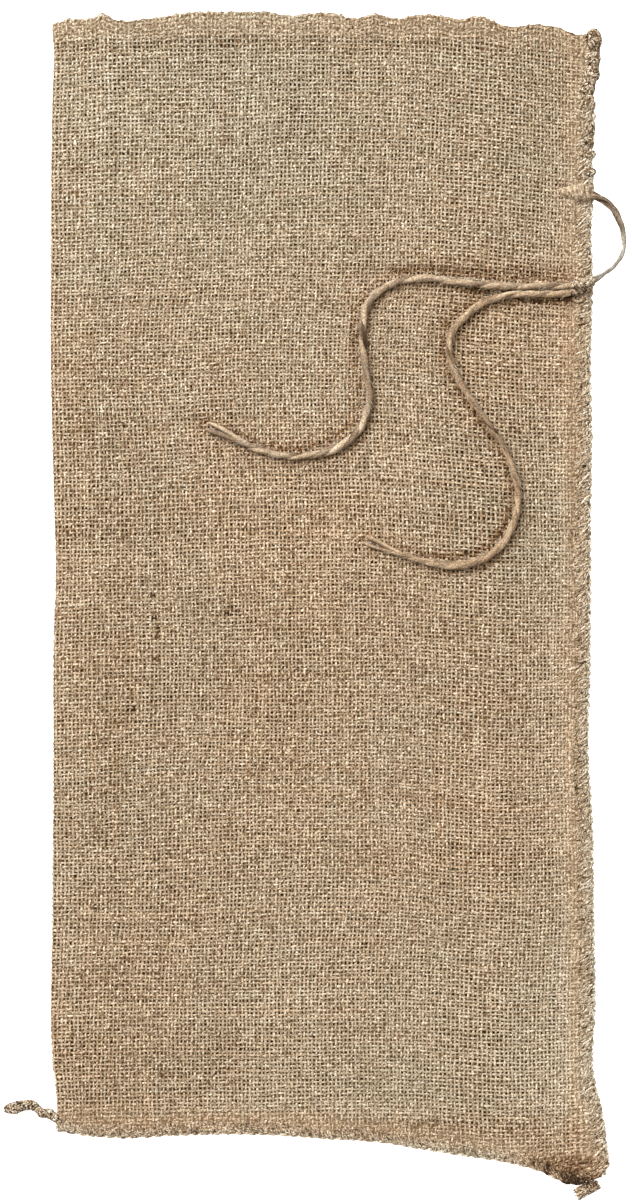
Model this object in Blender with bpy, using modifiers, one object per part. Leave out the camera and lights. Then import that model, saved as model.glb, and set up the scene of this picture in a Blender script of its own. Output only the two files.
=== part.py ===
"""An empty burlap sack with a tie, lying face up on a flat surface.

One length of cloth is folded once along its left edge, sewn along its right and bottom edges, and open
at the top, where its hem is turned in. A doubled twine is sewn to the side seam near the mouth. Its two
legs run out over the edge in a loop, come back onto the front and part there.

Metres, +Z up, +Y towards the mouth, +X towards the side seam. The origin is under the middle of the
sack, on the surface that it lies on.
"""

from collections import namedtuple

import bmesh
import bpy
import numpy as np

MM = 0.001

# Cloth, in millimetres
NOMINAL_WIDTH = 350.0
NOMINAL_LENGTH = 735.0
CLOTH_WALL = 1.4
HEM_WALL = 2.0
HEM_DEPTH = 16.0
HEM_RISE = 0.6
HEM_STEP = 3.0  # over which the hem's edge eases into the single cloth

# Height of the front layer's face above the surface, in millimetres
FOLD_HEIGHT = 3.6
SEAM_HEIGHT = 4.6
BODY_LOFT = 9.0
MOUTH_LOFT = 10.6
FOLD_REACH = 45.0  # from the fold to the full loft
SEAM_BAND = 12.0  # width of the overcast edge
SEAM_REACH = 50.0  # from the seam band to the full loft
MOUTH_REACH = 120.0  # from the mouth to the body's loft
EDGE_ROUND = 2.6
ON_EDGE = 0.05  # a point this near a closed edge is on it
GROOVE_DEPTH = 0.8  # of the dip where the stitches draw the cloth in
GROOVE_INSET = 13.0
GROOVE_WIDTH = 2.0

# Distances from each edge of the rows of points, in millimetres
FOLD_STATIONS = (0.0, 0.8, 2.6, 9.0, 22.0, 38.0, 54.0)
SEAM_STATIONS = (0.0, 0.8, 2.6, 10.0, 13.0, 17.0, 28.0, 42.0, 58.0)
MOUTH_STATIONS = (0.0, 7.0, 14.5, 18.5, 34.0, 55.0)
MIDDLE_ACROSS = 16.0  # greatest spacing between the stations of two edges
MIDDLE_ALONG = 28.0
HEM_FROM_SIDE = 9.0  # the hem is double from here inwards
PLAN_ROUNDS = 4  # enough for a point's two places to agree
SAME_POINT = 0.01

# Low swells of the lofted cloth: height and lengths in millimetres, phase in radians
Swell = namedtuple("Swell", "height across along phase")
SWELLS = (
    Swell(height=0.35, across=150.0, along=210.0, phase=0.6),
    Swell(height=0.25, across=-95.0, along=130.0, phase=2.1),
    Swell(height=0.18, across=70.0, along=-310.0, phase=4.0),
)

# Outline, in millimetres: how far out each edge lies at places along it
SideRow = namedtuple("SideRow", "y x")
EndRow = namedtuple("EndRow", "x y")
FOLD_EDGE = (
    SideRow(y=-344.5, x=-177.6),
    SideRow(y=-328.0, x=-177.0),
    SideRow(y=-299.0, x=-180.2),
    SideRow(y=-240.5, x=-180.7),
    SideRow(y=-163.0, x=-180.0),
    SideRow(y=-85.0, x=-179.3),
    SideRow(y=-27.0, x=-179.3),
    SideRow(y=15.5, x=-177.8),
    SideRow(y=64.0, x=-179.0),
    SideRow(y=129.0, x=-180.7),
    SideRow(y=194.0, x=-181.2),
    SideRow(y=265.0, x=-180.9),
    SideRow(y=323.0, x=-180.0),
    SideRow(y=362.0, x=-179.3),
    SideRow(y=373.0, x=-180.4),
)
SEAM_EDGE = (
    SideRow(y=-376.0, x=177.5),
    SideRow(y=-367.5, x=181.0),
    SideRow(y=-351.0, x=179.3),
    SideRow(y=-331.0, x=176.5),
    SideRow(y=-315.0, x=172.3),
    SideRow(y=-260.0, x=172.2),
    SideRow(y=-195.0, x=171.2),
    SideRow(y=-143.0, x=170.3),
    SideRow(y=-95.0, x=167.5),
    SideRow(y=-52.5, x=168.7),
    SideRow(y=-0.5, x=169.3),
    SideRow(y=51.0, x=169.3),
    SideRow(y=103.0, x=170.0),
    SideRow(y=161.0, x=169.3),
    SideRow(y=206.5, x=170.6),
    SideRow(y=239.0, x=169.6),
    SideRow(y=265.0, x=171.2),
    SideRow(y=284.0, x=170.3),
    SideRow(y=310.0, x=172.0),
    SideRow(y=328.0, x=172.6),
    SideRow(y=340.0, x=175.8),
    SideRow(y=365.0, x=177.0),
)
BASE_EDGE = (
    EndRow(x=-177.6, y=-344.5),
    EndRow(x=-164.0, y=-347.0),
    EndRow(x=-129.0, y=-349.5),
    EndRow(x=-106.0, y=-348.2),
    EndRow(x=-70.5, y=-347.0),
    EndRow(x=-38.0, y=-347.5),
    EndRow(x=1.0, y=-350.2),
    EndRow(x=33.0, y=-352.2),
    EndRow(x=59.0, y=-356.5),
    EndRow(x=85.0, y=-360.6),
    EndRow(x=117.5, y=-365.8),
    EndRow(x=137.0, y=-371.0),
    EndRow(x=156.5, y=-379.5),
    EndRow(x=169.0, y=-379.0),
    EndRow(x=177.5, y=-376.0),
)
MOUTH_EDGE = (
    EndRow(x=-180.4, y=373.0),
    EndRow(x=-168.0, y=376.2),
    EndRow(x=-153.5, y=376.0),
    EndRow(x=-146.0, y=379.0),
    EndRow(x=-139.0, y=375.2),
    EndRow(x=-116.0, y=375.6),
    EndRow(x=-90.0, y=379.2),
    EndRow(x=-57.5, y=379.8),
    EndRow(x=-41.0, y=380.0),
    EndRow(x=-25.0, y=377.4),
    EndRow(x=-9.0, y=379.0),
    EndRow(x=7.5, y=378.2),
    EndRow(x=17.0, y=375.4),
    EndRow(x=28.5, y=378.6),
    EndRow(x=43.0, y=375.4),
    EndRow(x=58.0, y=377.8),
    EndRow(x=71.0, y=377.6),
    EndRow(x=86.5, y=374.8),
    EndRow(x=96.0, y=377.2),
    EndRow(x=105.0, y=375.2),
    EndRow(x=115.0, y=370.4),
    EndRow(x=134.0, y=372.2),
    EndRow(x=150.0, y=370.2),
    EndRow(x=163.0, y=365.8),
    EndRow(x=170.0, y=369.0),
    EndRow(x=177.0, y=365.0),
)

# Cords, in millimetres. A row's lift is its centre line's height over what the cord lies on
TWINE = 4.0
TAIL = 5.4
SMALL_TAIL = 5.4
ON_CLOTH = TWINE / 2 + 0.4
ON_FLOOR = TWINE / 2 + 0.1
ON_TWINE = TWINE + 0.5  # more, where one leg lies on the other
CORD_STEP = 8.5
TAIL_STEP = 5.0
DRAPE_STEP = 1.0
DRAPE_SLOPE = 0.45  # a limp cord comes down from an edge no steeper than this
DRAPE_HOLD = 4.0  # it stays up this far past the edge
DRAPE_SMOOTH = 9  # steps
RoutePoint = namedtuple("RoutePoint", "x y lift")
TIE_LONG = (
    RoutePoint(153.5, 260.6, ON_CLOTH),
    RoutePoint(163.0, 260.6, ON_CLOTH),
    RoutePoint(171.0, 259.4, ON_CLOTH + 1.2),
    RoutePoint(179.0, 256.0, ON_FLOOR + 3.2),
    RoutePoint(185.0, 250.0, ON_FLOOR + 3.4),
    RoutePoint(189.0, 242.0, ON_FLOOR + 3.9),
    RoutePoint(191.0, 233.5, ON_FLOOR + 4.3),
    RoutePoint(191.0, 226.5, ON_FLOOR + ON_TWINE),
    RoutePoint(188.5, 220.0, ON_FLOOR + ON_TWINE),
    RoutePoint(184.0, 214.5, ON_FLOOR + ON_TWINE),
    RoutePoint(178.5, 210.5, ON_FLOOR + ON_TWINE),
    RoutePoint(171.0, 206.3, ON_CLOTH + ON_TWINE),
    RoutePoint(163.0, 203.5, ON_CLOTH + 3.6),
    RoutePoint(153.0, 202.3, ON_CLOTH + 1.2),
    RoutePoint(140.0, 202.2, ON_CLOTH),
    RoutePoint(124.0, 202.2, ON_CLOTH),
    RoutePoint(111.0, 202.4, ON_CLOTH),
    RoutePoint(101.0, 203.2, ON_CLOTH),
    RoutePoint(91.5, 204.2, ON_CLOTH),
    RoutePoint(78.5, 205.8, ON_CLOTH),
    RoutePoint(67.5, 207.5, ON_CLOTH),
    RoutePoint(56.0, 207.5, ON_CLOTH),
    RoutePoint(46.0, 205.8, ON_CLOTH),
    RoutePoint(36.5, 201.8, ON_CLOTH),
    RoutePoint(28.0, 195.5, ON_CLOTH),
    RoutePoint(23.5, 187.5, ON_CLOTH),
    RoutePoint(21.5, 177.0, ON_CLOTH),
    RoutePoint(21.5, 164.5, ON_CLOTH),
    RoutePoint(23.0, 151.5, ON_CLOTH),
    RoutePoint(25.0, 138.5, ON_CLOTH),
    RoutePoint(25.8, 128.5, ON_CLOTH),
    RoutePoint(24.0, 119.5, ON_CLOTH),
    RoutePoint(20.0, 111.5, ON_CLOTH),
    RoutePoint(14.5, 104.5, ON_CLOTH),
    RoutePoint(6.5, 98.8, ON_CLOTH),
    RoutePoint(-5.5, 94.5, ON_CLOTH),
    RoutePoint(-18.5, 92.5, ON_CLOTH),
    RoutePoint(-31.5, 93.5, ON_CLOTH),
    RoutePoint(-43.5, 96.3, ON_CLOTH),
    RoutePoint(-54.5, 100.8, ON_CLOTH),
    RoutePoint(-65.5, 106.0, ON_CLOTH),
    RoutePoint(-79.0, 111.5, ON_CLOTH),
)
TIE_SHORT = (
    RoutePoint(153.5, 265.4, ON_CLOTH),
    RoutePoint(163.0, 265.4, ON_CLOTH),
    RoutePoint(171.0, 263.6, ON_CLOTH),
    RoutePoint(179.5, 260.0, ON_FLOOR),
    RoutePoint(186.5, 254.5, ON_FLOOR),
    RoutePoint(190.8, 246.5, ON_FLOOR),
    RoutePoint(193.2, 237.5, ON_FLOOR),
    RoutePoint(193.2, 228.0, ON_FLOOR),
    RoutePoint(190.0, 219.5, ON_FLOOR),
    RoutePoint(185.0, 213.8, ON_FLOOR),
    RoutePoint(178.5, 209.3, ON_FLOOR),
    RoutePoint(171.0, 204.3, ON_CLOTH),
    RoutePoint(163.0, 200.0, ON_CLOTH),
    RoutePoint(153.0, 197.6, ON_CLOTH),
    RoutePoint(140.0, 197.4, ON_CLOTH),
    RoutePoint(124.0, 197.4, ON_CLOTH),
    RoutePoint(114.0, 196.5, ON_CLOTH),
    RoutePoint(105.5, 194.0, ON_CLOTH),
    RoutePoint(96.5, 189.8, ON_CLOTH),
    RoutePoint(88.5, 183.5, ON_CLOTH),
    RoutePoint(82.0, 176.5, ON_CLOTH),
    RoutePoint(78.5, 169.0, ON_CLOTH),
    RoutePoint(77.5, 161.0, ON_CLOTH),
    RoutePoint(78.8, 153.5, ON_CLOTH),
    RoutePoint(82.5, 145.0, ON_CLOTH),
    RoutePoint(87.0, 136.5, ON_CLOTH),
    RoutePoint(92.2, 128.0, ON_CLOTH),
    RoutePoint(98.2, 119.5, ON_CLOTH),
    RoutePoint(105.5, 109.0, ON_CLOTH),
    RoutePoint(112.5, 98.5, ON_CLOTH),
    RoutePoint(118.0, 86.5, ON_CLOTH),
    RoutePoint(121.2, 73.5, ON_CLOTH),
    RoutePoint(121.5, 60.5, ON_CLOTH),
    RoutePoint(118.5, 48.5, ON_CLOTH),
    RoutePoint(113.0, 38.0, ON_CLOTH),
    RoutePoint(105.5, 30.2, ON_CLOTH),
    RoutePoint(96.5, 25.0, ON_CLOTH),
    RoutePoint(85.0, 22.2, ON_CLOTH),
    RoutePoint(72.0, 22.6, ON_CLOTH),
    RoutePoint(59.0, 25.5, ON_CLOTH),
    RoutePoint(46.0, 29.3, ON_CLOTH),
    RoutePoint(36.0, 32.8, ON_CLOTH),
    RoutePoint(23.5, 37.5, ON_CLOTH),
)
TAIL_LIFT = TAIL / 2 + 0.1
SEAM_TAIL_LEFT = (
    RoutePoint(-178.8, -337.4, TAIL_LIFT),
    RoutePoint(-184.0, -334.3, TAIL_LIFT),
    RoutePoint(-188.5, -331.8, TAIL_LIFT),
    RoutePoint(-193.5, -329.8, TAIL_LIFT),
    RoutePoint(-199.0, -329.2, TAIL_LIFT),
    RoutePoint(-204.5, -330.0, TAIL_LIFT),
    RoutePoint(-210.5, -331.8, TAIL_LIFT),
)
SMALL_TAIL_LIFT = SMALL_TAIL / 2 + 0.1
SEAM_TAIL_RIGHT = (
    RoutePoint(175.0, -380.0, SMALL_TAIL_LIFT),
    RoutePoint(170.5, -381.9, SMALL_TAIL_LIFT),
    RoutePoint(165.5, -384.2, SMALL_TAIL_LIFT),
    RoutePoint(160.5, -387.2, SMALL_TAIL_LIFT),
)

# Finishes: linear colour and roughness
JUTE_CLOTH = ((0.434, 0.323, 0.212), 0.92)
SEAM_YARN = ((0.36, 0.26, 0.165), 0.94)
JUTE_TWINE = ((0.46, 0.34, 0.23), 0.9)


def clear_scene():
    """Removes every object that the scene starts with."""
    for thing in list(bpy.data.objects):
        bpy.data.objects.remove(thing, do_unlink=True)


def finish(name, look):
    """A plain material of the given colour and roughness."""
    colour, roughness = look
    material = bpy.data.materials.new(name)
    material.use_nodes = True
    shader = material.node_tree.nodes["Principled BSDF"]
    shader.inputs["Base Color"].default_value = (*colour, 1.0)
    shader.inputs["Roughness"].default_value = roughness
    shader.inputs["Metallic"].default_value = 0.0
    return material


def ease(share):
    """0 to 1 with level ends."""
    share = np.clip(share, 0.0, 1.0)
    return share * share * (3.0 - 2.0 * share)


def smooth_through(places, values, wanted):
    """Values at the wanted places, on a smooth curve through the given ones."""
    slopes = np.gradient(values, places)
    wanted = np.clip(wanted, places[0], places[-1])
    i = np.clip(np.searchsorted(places, wanted) - 1, 0, len(places) - 2)
    span = places[i + 1] - places[i]
    t = (wanted - places[i]) / span
    rise = values[i + 1] - values[i]
    bend_in = slopes[i] * span - rise
    bend_out = rise - slopes[i + 1] * span
    return values[i] + rise * t + t * (1 - t) * (bend_in * (1 - t) + bend_out * t)


def edge_at(rows, wanted):
    """Where an edge of the outline lies, at places along it."""
    places, values = np.array(rows, float).T
    return smooth_through(places, values, np.asarray(wanted, float))


def plan(across, along):
    """The point of the outline's inside at these shares of its width and length."""
    y = BASE_EDGE[0].y + along * NOMINAL_LENGTH
    x = (across - 0.5) * NOMINAL_WIDTH
    for _ in range(PLAN_ROUNDS):
        left, right = edge_at(FOLD_EDGE, y), edge_at(SEAM_EDGE, y)
        x = left + across * (right - left)
        base, mouth = edge_at(BASE_EDGE, x), edge_at(MOUTH_EDGE, x)
        y = base + along * (mouth - base)
    return x, y


def insets(x, y):
    """Distances to the fold, the side seam, the bottom seam and the mouth."""
    return (
        x - edge_at(FOLD_EDGE, y),
        edge_at(SEAM_EDGE, y) - x,
        y - edge_at(BASE_EDGE, x),
        edge_at(MOUTH_EDGE, x) - y,
    )


def front_height(x, y):
    """Height of the front layer's face, without the rounding of the closed edges."""
    fold, seam, base, mouth = insets(x, y)
    swollen = (
        ease(fold / FOLD_REACH)
        * ease((seam - SEAM_BAND) / SEAM_REACH)
        * ease((base - SEAM_BAND) / SEAM_REACH)
    )
    sewn = 1.0 - ease(np.minimum(seam, base) / SEAM_REACH)
    edge = FOLD_HEIGHT + (SEAM_HEIGHT - FOLD_HEIGHT) * sewn
    loft = BODY_LOFT + (MOUTH_LOFT - BODY_LOFT) * ease(1.0 - mouth / MOUTH_REACH)
    waves = sum(
        swell.height
        * np.sin(2 * np.pi * (x / swell.across + y / swell.along) + swell.phase)
        for swell in SWELLS
    )
    grooves = sum(
        GROOVE_DEPTH * np.exp(-(((inset - GROOVE_INSET) / GROOVE_WIDTH) ** 2))
        for inset in (seam, base)
    )
    hem = HEM_RISE * (1.0 - ease((mouth - HEM_DEPTH) / HEM_STEP))
    return edge + (loft + waves - edge) * swollen - grooves + hem


def stations(near, far, total, widest):
    """Shares of a length at which the cloth has points: near and far give distances from its ends."""
    count = int(np.ceil((total - near[-1] - far[-1]) / widest))
    middle = np.linspace(near[-1], total - far[-1], count + 1)
    ends = [total - distance for distance in reversed(far)]
    return np.array([*near, *middle[1:-1], *ends]) / total


def cloth_point(across, along, on_front):
    """A point of the sack's outer face, in millimetres."""
    x, y = plan(across, along)
    fold, seam, base, _ = insets(x, y)
    height = front_height(x, y)
    inset = min(fold, seam, base)
    turned = 1.0 if inset < ON_EDGE else 1.0 - min(inset / EDGE_ROUND, 1.0)
    swing = (1.0 - turned * turned) ** 0.5
    half = height / 2
    return x, y, half + half * swing if on_front else half - half * swing


def build_cloth(material, collection):
    """The sack: a tube of cloth, flattened and closed along its base, then given its wall."""
    across = stations(FOLD_STATIONS, SEAM_STATIONS, NOMINAL_WIDTH, MIDDLE_ACROSS)
    along = stations(SEAM_STATIONS, MOUTH_STATIONS, NOMINAL_LENGTH, MIDDLE_ALONG)
    columns, rows = len(across) - 1, len(along) - 1
    tube = bmesh.new()
    bmesh.ops.create_grid(tube, x_segments=2 * columns, y_segments=rows, size=1.0)
    weights = tube.verts.layers.deform.verify()
    for vertex in tube.verts:
        column = round((vertex.co.x + 1.0) * columns)
        row = round((vertex.co.y + 1.0) / 2.0 * rows)
        on_front = column <= columns
        share = across[column if on_front else 2 * columns - column]
        vertex.co = np.array(cloth_point(share, along[row], on_front)) * MM
        from_side = min(share, 1.0 - share) * NOMINAL_WIDTH
        from_mouth = (1.0 - along[row]) * NOMINAL_LENGTH
        if from_mouth < HEM_DEPTH and from_side >= HEM_FROM_SIDE:
            vertex[weights][0] = 1.0
    bmesh.ops.remove_doubles(tube, verts=tube.verts, dist=SAME_POINT * MM)
    bmesh.ops.recalc_face_normals(tube, faces=tube.faces)
    mesh = bpy.data.meshes.new("sack_cloth")
    tube.to_mesh(mesh)
    tube.free()
    mesh.materials.append(material)
    mesh.shade_smooth()
    cloth = bpy.data.objects.new("sack_cloth", mesh)
    cloth.vertex_groups.new(name="hem")
    collection.objects.link(cloth)
    wall = cloth.modifiers.new("Wall", "SOLIDIFY")
    wall.thickness = HEM_WALL * MM
    wall.offset = -1.0
    wall.vertex_group = "hem"
    wall.thickness_vertex_group = CLOTH_WALL / HEM_WALL
    wall.use_even_offset = True
    return cloth


def support_height(x, y):
    """Height of what a cord lies on: the sack's front, or the surface beside it."""
    on_sack = np.minimum.reduce(insets(x, y)) > 0.0
    return np.where(on_sack, front_height(x, y), 0.0)


def draped(x, y, step):
    """Heights under a limp cord, which comes down from an edge in a slope and doesn't follow grooves."""
    held = support_height(x, y)
    places = np.arange(len(x)) * step
    apart = np.abs(places[:, None] - places[None, :])
    fall = DRAPE_SLOPE * np.maximum(apart - DRAPE_HOLD, 0.0)
    held = (held[None, :] - fall).max(axis=1)
    padded = np.pad(held, DRAPE_SMOOTH, mode="edge")
    window = np.hanning(2 * DRAPE_SMOOTH + 3)[1:-1]
    return np.convolve(padded, window / window.sum(), mode="valid")


def cord_points(route, spacing):
    """Points of a cord's centre line, evenly spaced on a smooth curve through its route, in metres."""
    x, y, lift = np.array(route, float).T
    reach = np.concatenate([[0.0], np.cumsum(np.hypot(np.diff(x), np.diff(y)))])
    fine = np.linspace(0.0, reach[-1], round(reach[-1] / DRAPE_STEP) + 1)
    x, y, lift = (smooth_through(reach, values, fine) for values in (x, y, lift))
    z = draped(x, y, fine[1]) + lift
    line = np.column_stack([x, y, z])
    length = np.concatenate([[0.0], np.cumsum(np.linalg.norm(np.diff(line, axis=0), axis=1))])
    places = np.linspace(0.0, length[-1], round(length[-1] / spacing) + 1)
    return np.column_stack([np.interp(places, length, line[:, i]) for i in range(3)]) * MM


def build_cord(name, route, diameter, spacing, material, collection):
    """A cord as a round tube with flat ends."""
    points = cord_points(route, spacing)
    curve = bpy.data.curves.new(name, "CURVE")
    curve.dimensions = "3D"
    curve.bevel_depth = diameter / 2 * MM
    curve.bevel_resolution = 2
    curve.use_fill_caps = True
    line = curve.splines.new("POLY")
    line.points.add(len(points) - 1)
    for point, place in zip(line.points, points):
        point.co = (*place, 1.0)
    curve.materials.append(material)
    cord = bpy.data.objects.new(name, curve)
    collection.objects.link(cord)
    return cord


def main():
    """Builds the sack, its seam tails and its tie."""
    clear_scene()
    sack = bpy.data.collections.new("burlap_sack")
    bpy.context.scene.collection.children.link(sack)
    cloth = finish("jute_cloth", JUTE_CLOTH)
    yarn = finish("seam_yarn", SEAM_YARN)
    twine = finish("jute_twine", JUTE_TWINE)
    build_cloth(cloth, sack)
    build_cord("seam_tail_left", SEAM_TAIL_LEFT, TAIL, TAIL_STEP, yarn, sack)
    build_cord("seam_tail_right", SEAM_TAIL_RIGHT, SMALL_TAIL, TAIL_STEP, yarn, sack)
    build_cord("tie_long", TIE_LONG, TWINE, CORD_STEP, twine, sack)
    build_cord("tie_short", TIE_SHORT, TWINE, CORD_STEP, twine, sack)


main()
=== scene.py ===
"""Looks of an empty burlap sack with a twine tie, lying face up on a pale floor.

The cloth is woven from separate humps of jute yarn over a thin sheet, whose dark outer face shows in the
holes as painted shade for the layer beneath. The cloth is folded along the left edge, overcast along the
right and bottom edges, and hemmed at its open mouth. A doubled twine is sewn to the side seam near the mouth.
Lengths are in millimetres here, and in metres in the meshes.
"""

import logging
from dataclasses import dataclass, field
from enum import Enum
from typing import NamedTuple, Sequence

import bpy
import numpy as np
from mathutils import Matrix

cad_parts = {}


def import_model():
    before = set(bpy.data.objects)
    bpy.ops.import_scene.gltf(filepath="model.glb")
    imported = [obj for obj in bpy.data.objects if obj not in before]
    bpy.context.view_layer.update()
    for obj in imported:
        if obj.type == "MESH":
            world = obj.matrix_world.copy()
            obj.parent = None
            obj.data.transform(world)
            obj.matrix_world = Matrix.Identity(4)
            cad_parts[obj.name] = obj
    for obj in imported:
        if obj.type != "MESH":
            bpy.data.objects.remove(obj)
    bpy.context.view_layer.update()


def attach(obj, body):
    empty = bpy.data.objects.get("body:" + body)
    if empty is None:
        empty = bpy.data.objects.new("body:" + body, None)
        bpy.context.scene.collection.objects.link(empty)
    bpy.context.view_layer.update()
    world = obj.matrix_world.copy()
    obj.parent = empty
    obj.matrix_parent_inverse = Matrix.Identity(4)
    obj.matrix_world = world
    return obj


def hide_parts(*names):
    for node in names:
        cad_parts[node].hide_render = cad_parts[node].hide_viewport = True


MM = 0.001
BODY = "root"
LOWEST = 0.05
UP = np.array([0.0, 0.0, 1.0])
Array, Rng = np.ndarray, np.random.Generator
Material, Node, Socket = bpy.types.Material, bpy.types.Node, bpy.types.NodeSocket
Pair, Triple = tuple[float, float], tuple[float, float, float]
Colour = Triple
Stops = tuple[tuple[float, Colour], ...]
log = logging.getLogger("burlap_sack")


class Slot(Enum):
    """The material slots."""

    CLOTH = "jute_cloth"
    SEAM = "seam_yarn"
    TWINE = "jute_twine"


def rows_of(kind: type, *rows: tuple[float, ...]) -> tuple:
    """Makes one of the given kind from each row of numbers."""
    return tuple(kind(*row) for row in rows)


# ---------------------------------------------------------------- curves and noise


def ease(share: Array) -> Array:
    """Takes 0 to 1 with level ends.

    Args:
        share: Values, of which those outside 0 to 1 are held at the ends.

    Returns:
        The eased values.
    """
    share = np.clip(share, 0.0, 1.0)
    return share * share * (3.0 - 2.0 * share)


def smooth_through(places: Array, values: Array, wanted: Array) -> Array:
    """Reads a smooth curve through the given points.

    Args:
        places: Where the points are, in rising order.
        values: What the curve is there.
        wanted: Where to read it.

    Returns:
        The curve's values at the wanted places.
    """
    slopes = np.gradient(values, places)
    wanted = np.clip(wanted, places[0], places[-1])
    i = np.clip(np.searchsorted(places, wanted) - 1, 0, len(places) - 2)
    span = places[i + 1] - places[i]
    t = (wanted - places[i]) / span
    rise = values[i + 1] - values[i]
    bend_in = slopes[i] * span - rise
    bend_out = rise - slopes[i + 1] * span
    return values[i] + rise * t + t * (1 - t) * (bend_in * (1 - t) + bend_out * t)


def soft_noise(rng: Rng, shape: tuple[int, int], spread: Pair) -> Array:
    """Makes noise that changes slowly along each axis.

    Args:
        rng: Where the noise comes from.
        shape: Rows and columns.
        spread: About how many cells the noise keeps its value over, along each axis.

    Returns:
        Noise with a mean of 0 and a deviation of 1.
    """
    waves = np.fft.rfft2(rng.standard_normal(shape))
    down = np.fft.fftfreq(shape[0])[:, None] * spread[0]
    across = np.fft.rfftfreq(shape[1])[None, :] * spread[1]
    waves *= np.exp(-2 * np.pi**2 * (down**2 + across**2))
    waves[0, 0] = 0.0
    noise = np.fft.irfft2(waves, s=shape)
    return noise / noise.std()


def through(points: Array, count: int) -> Array:
    """Runs smooth curves through rows of control points.

    Args:
        points: Curves by control points by coordinates.
        count: How many points each curve gets.

    Returns:
        Curves by count by coordinates.
    """
    knots = np.arange(points.shape[1], dtype=float)
    slopes = np.gradient(points, axis=1)
    wanted = np.linspace(0.0, knots[-1], count)
    i = np.clip(wanted.astype(int), 0, len(knots) - 2)
    t = (wanted - i)[None, :, None]
    start, end = points[:, i], points[:, i + 1]
    rise = end - start
    return start + rise * t + t * (1 - t) * ((slopes[:, i] - rise) * (1 - t) + (rise - slopes[:, i + 1]) * t)


def way_along(line: Array) -> Array:
    """Gives how far along a line each of its points lies."""
    return np.concatenate([[0.0], np.cumsum(np.linalg.norm(np.diff(line, axis=0), axis=1))])


def unit(vectors: Array) -> Array:
    """Gives vectors the length 1."""
    return vectors / np.linalg.norm(vectors, axis=-1, keepdims=True)


# ---------------------------------------------------------------- the sack's form


@dataclass(frozen=True)
class Edge:
    """One edge of the outline, as places along it and how far out it lies there."""

    rows: tuple[Pair, ...]

    def at(self, wanted: Array) -> Array:
        """Says how far out the edge lies at places along it."""
        places, values = np.array(self.rows, float).T
        return smooth_through(places, values, np.asarray(wanted, float))


@dataclass(frozen=True)
class Swell:
    """One low swell of the lofted cloth."""

    height: float
    across: float
    along: float
    phase: float


class Spot(NamedTuple):
    """Places on the sack's outer face, and the directions out of it."""

    points: Array
    outward: Array


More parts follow.
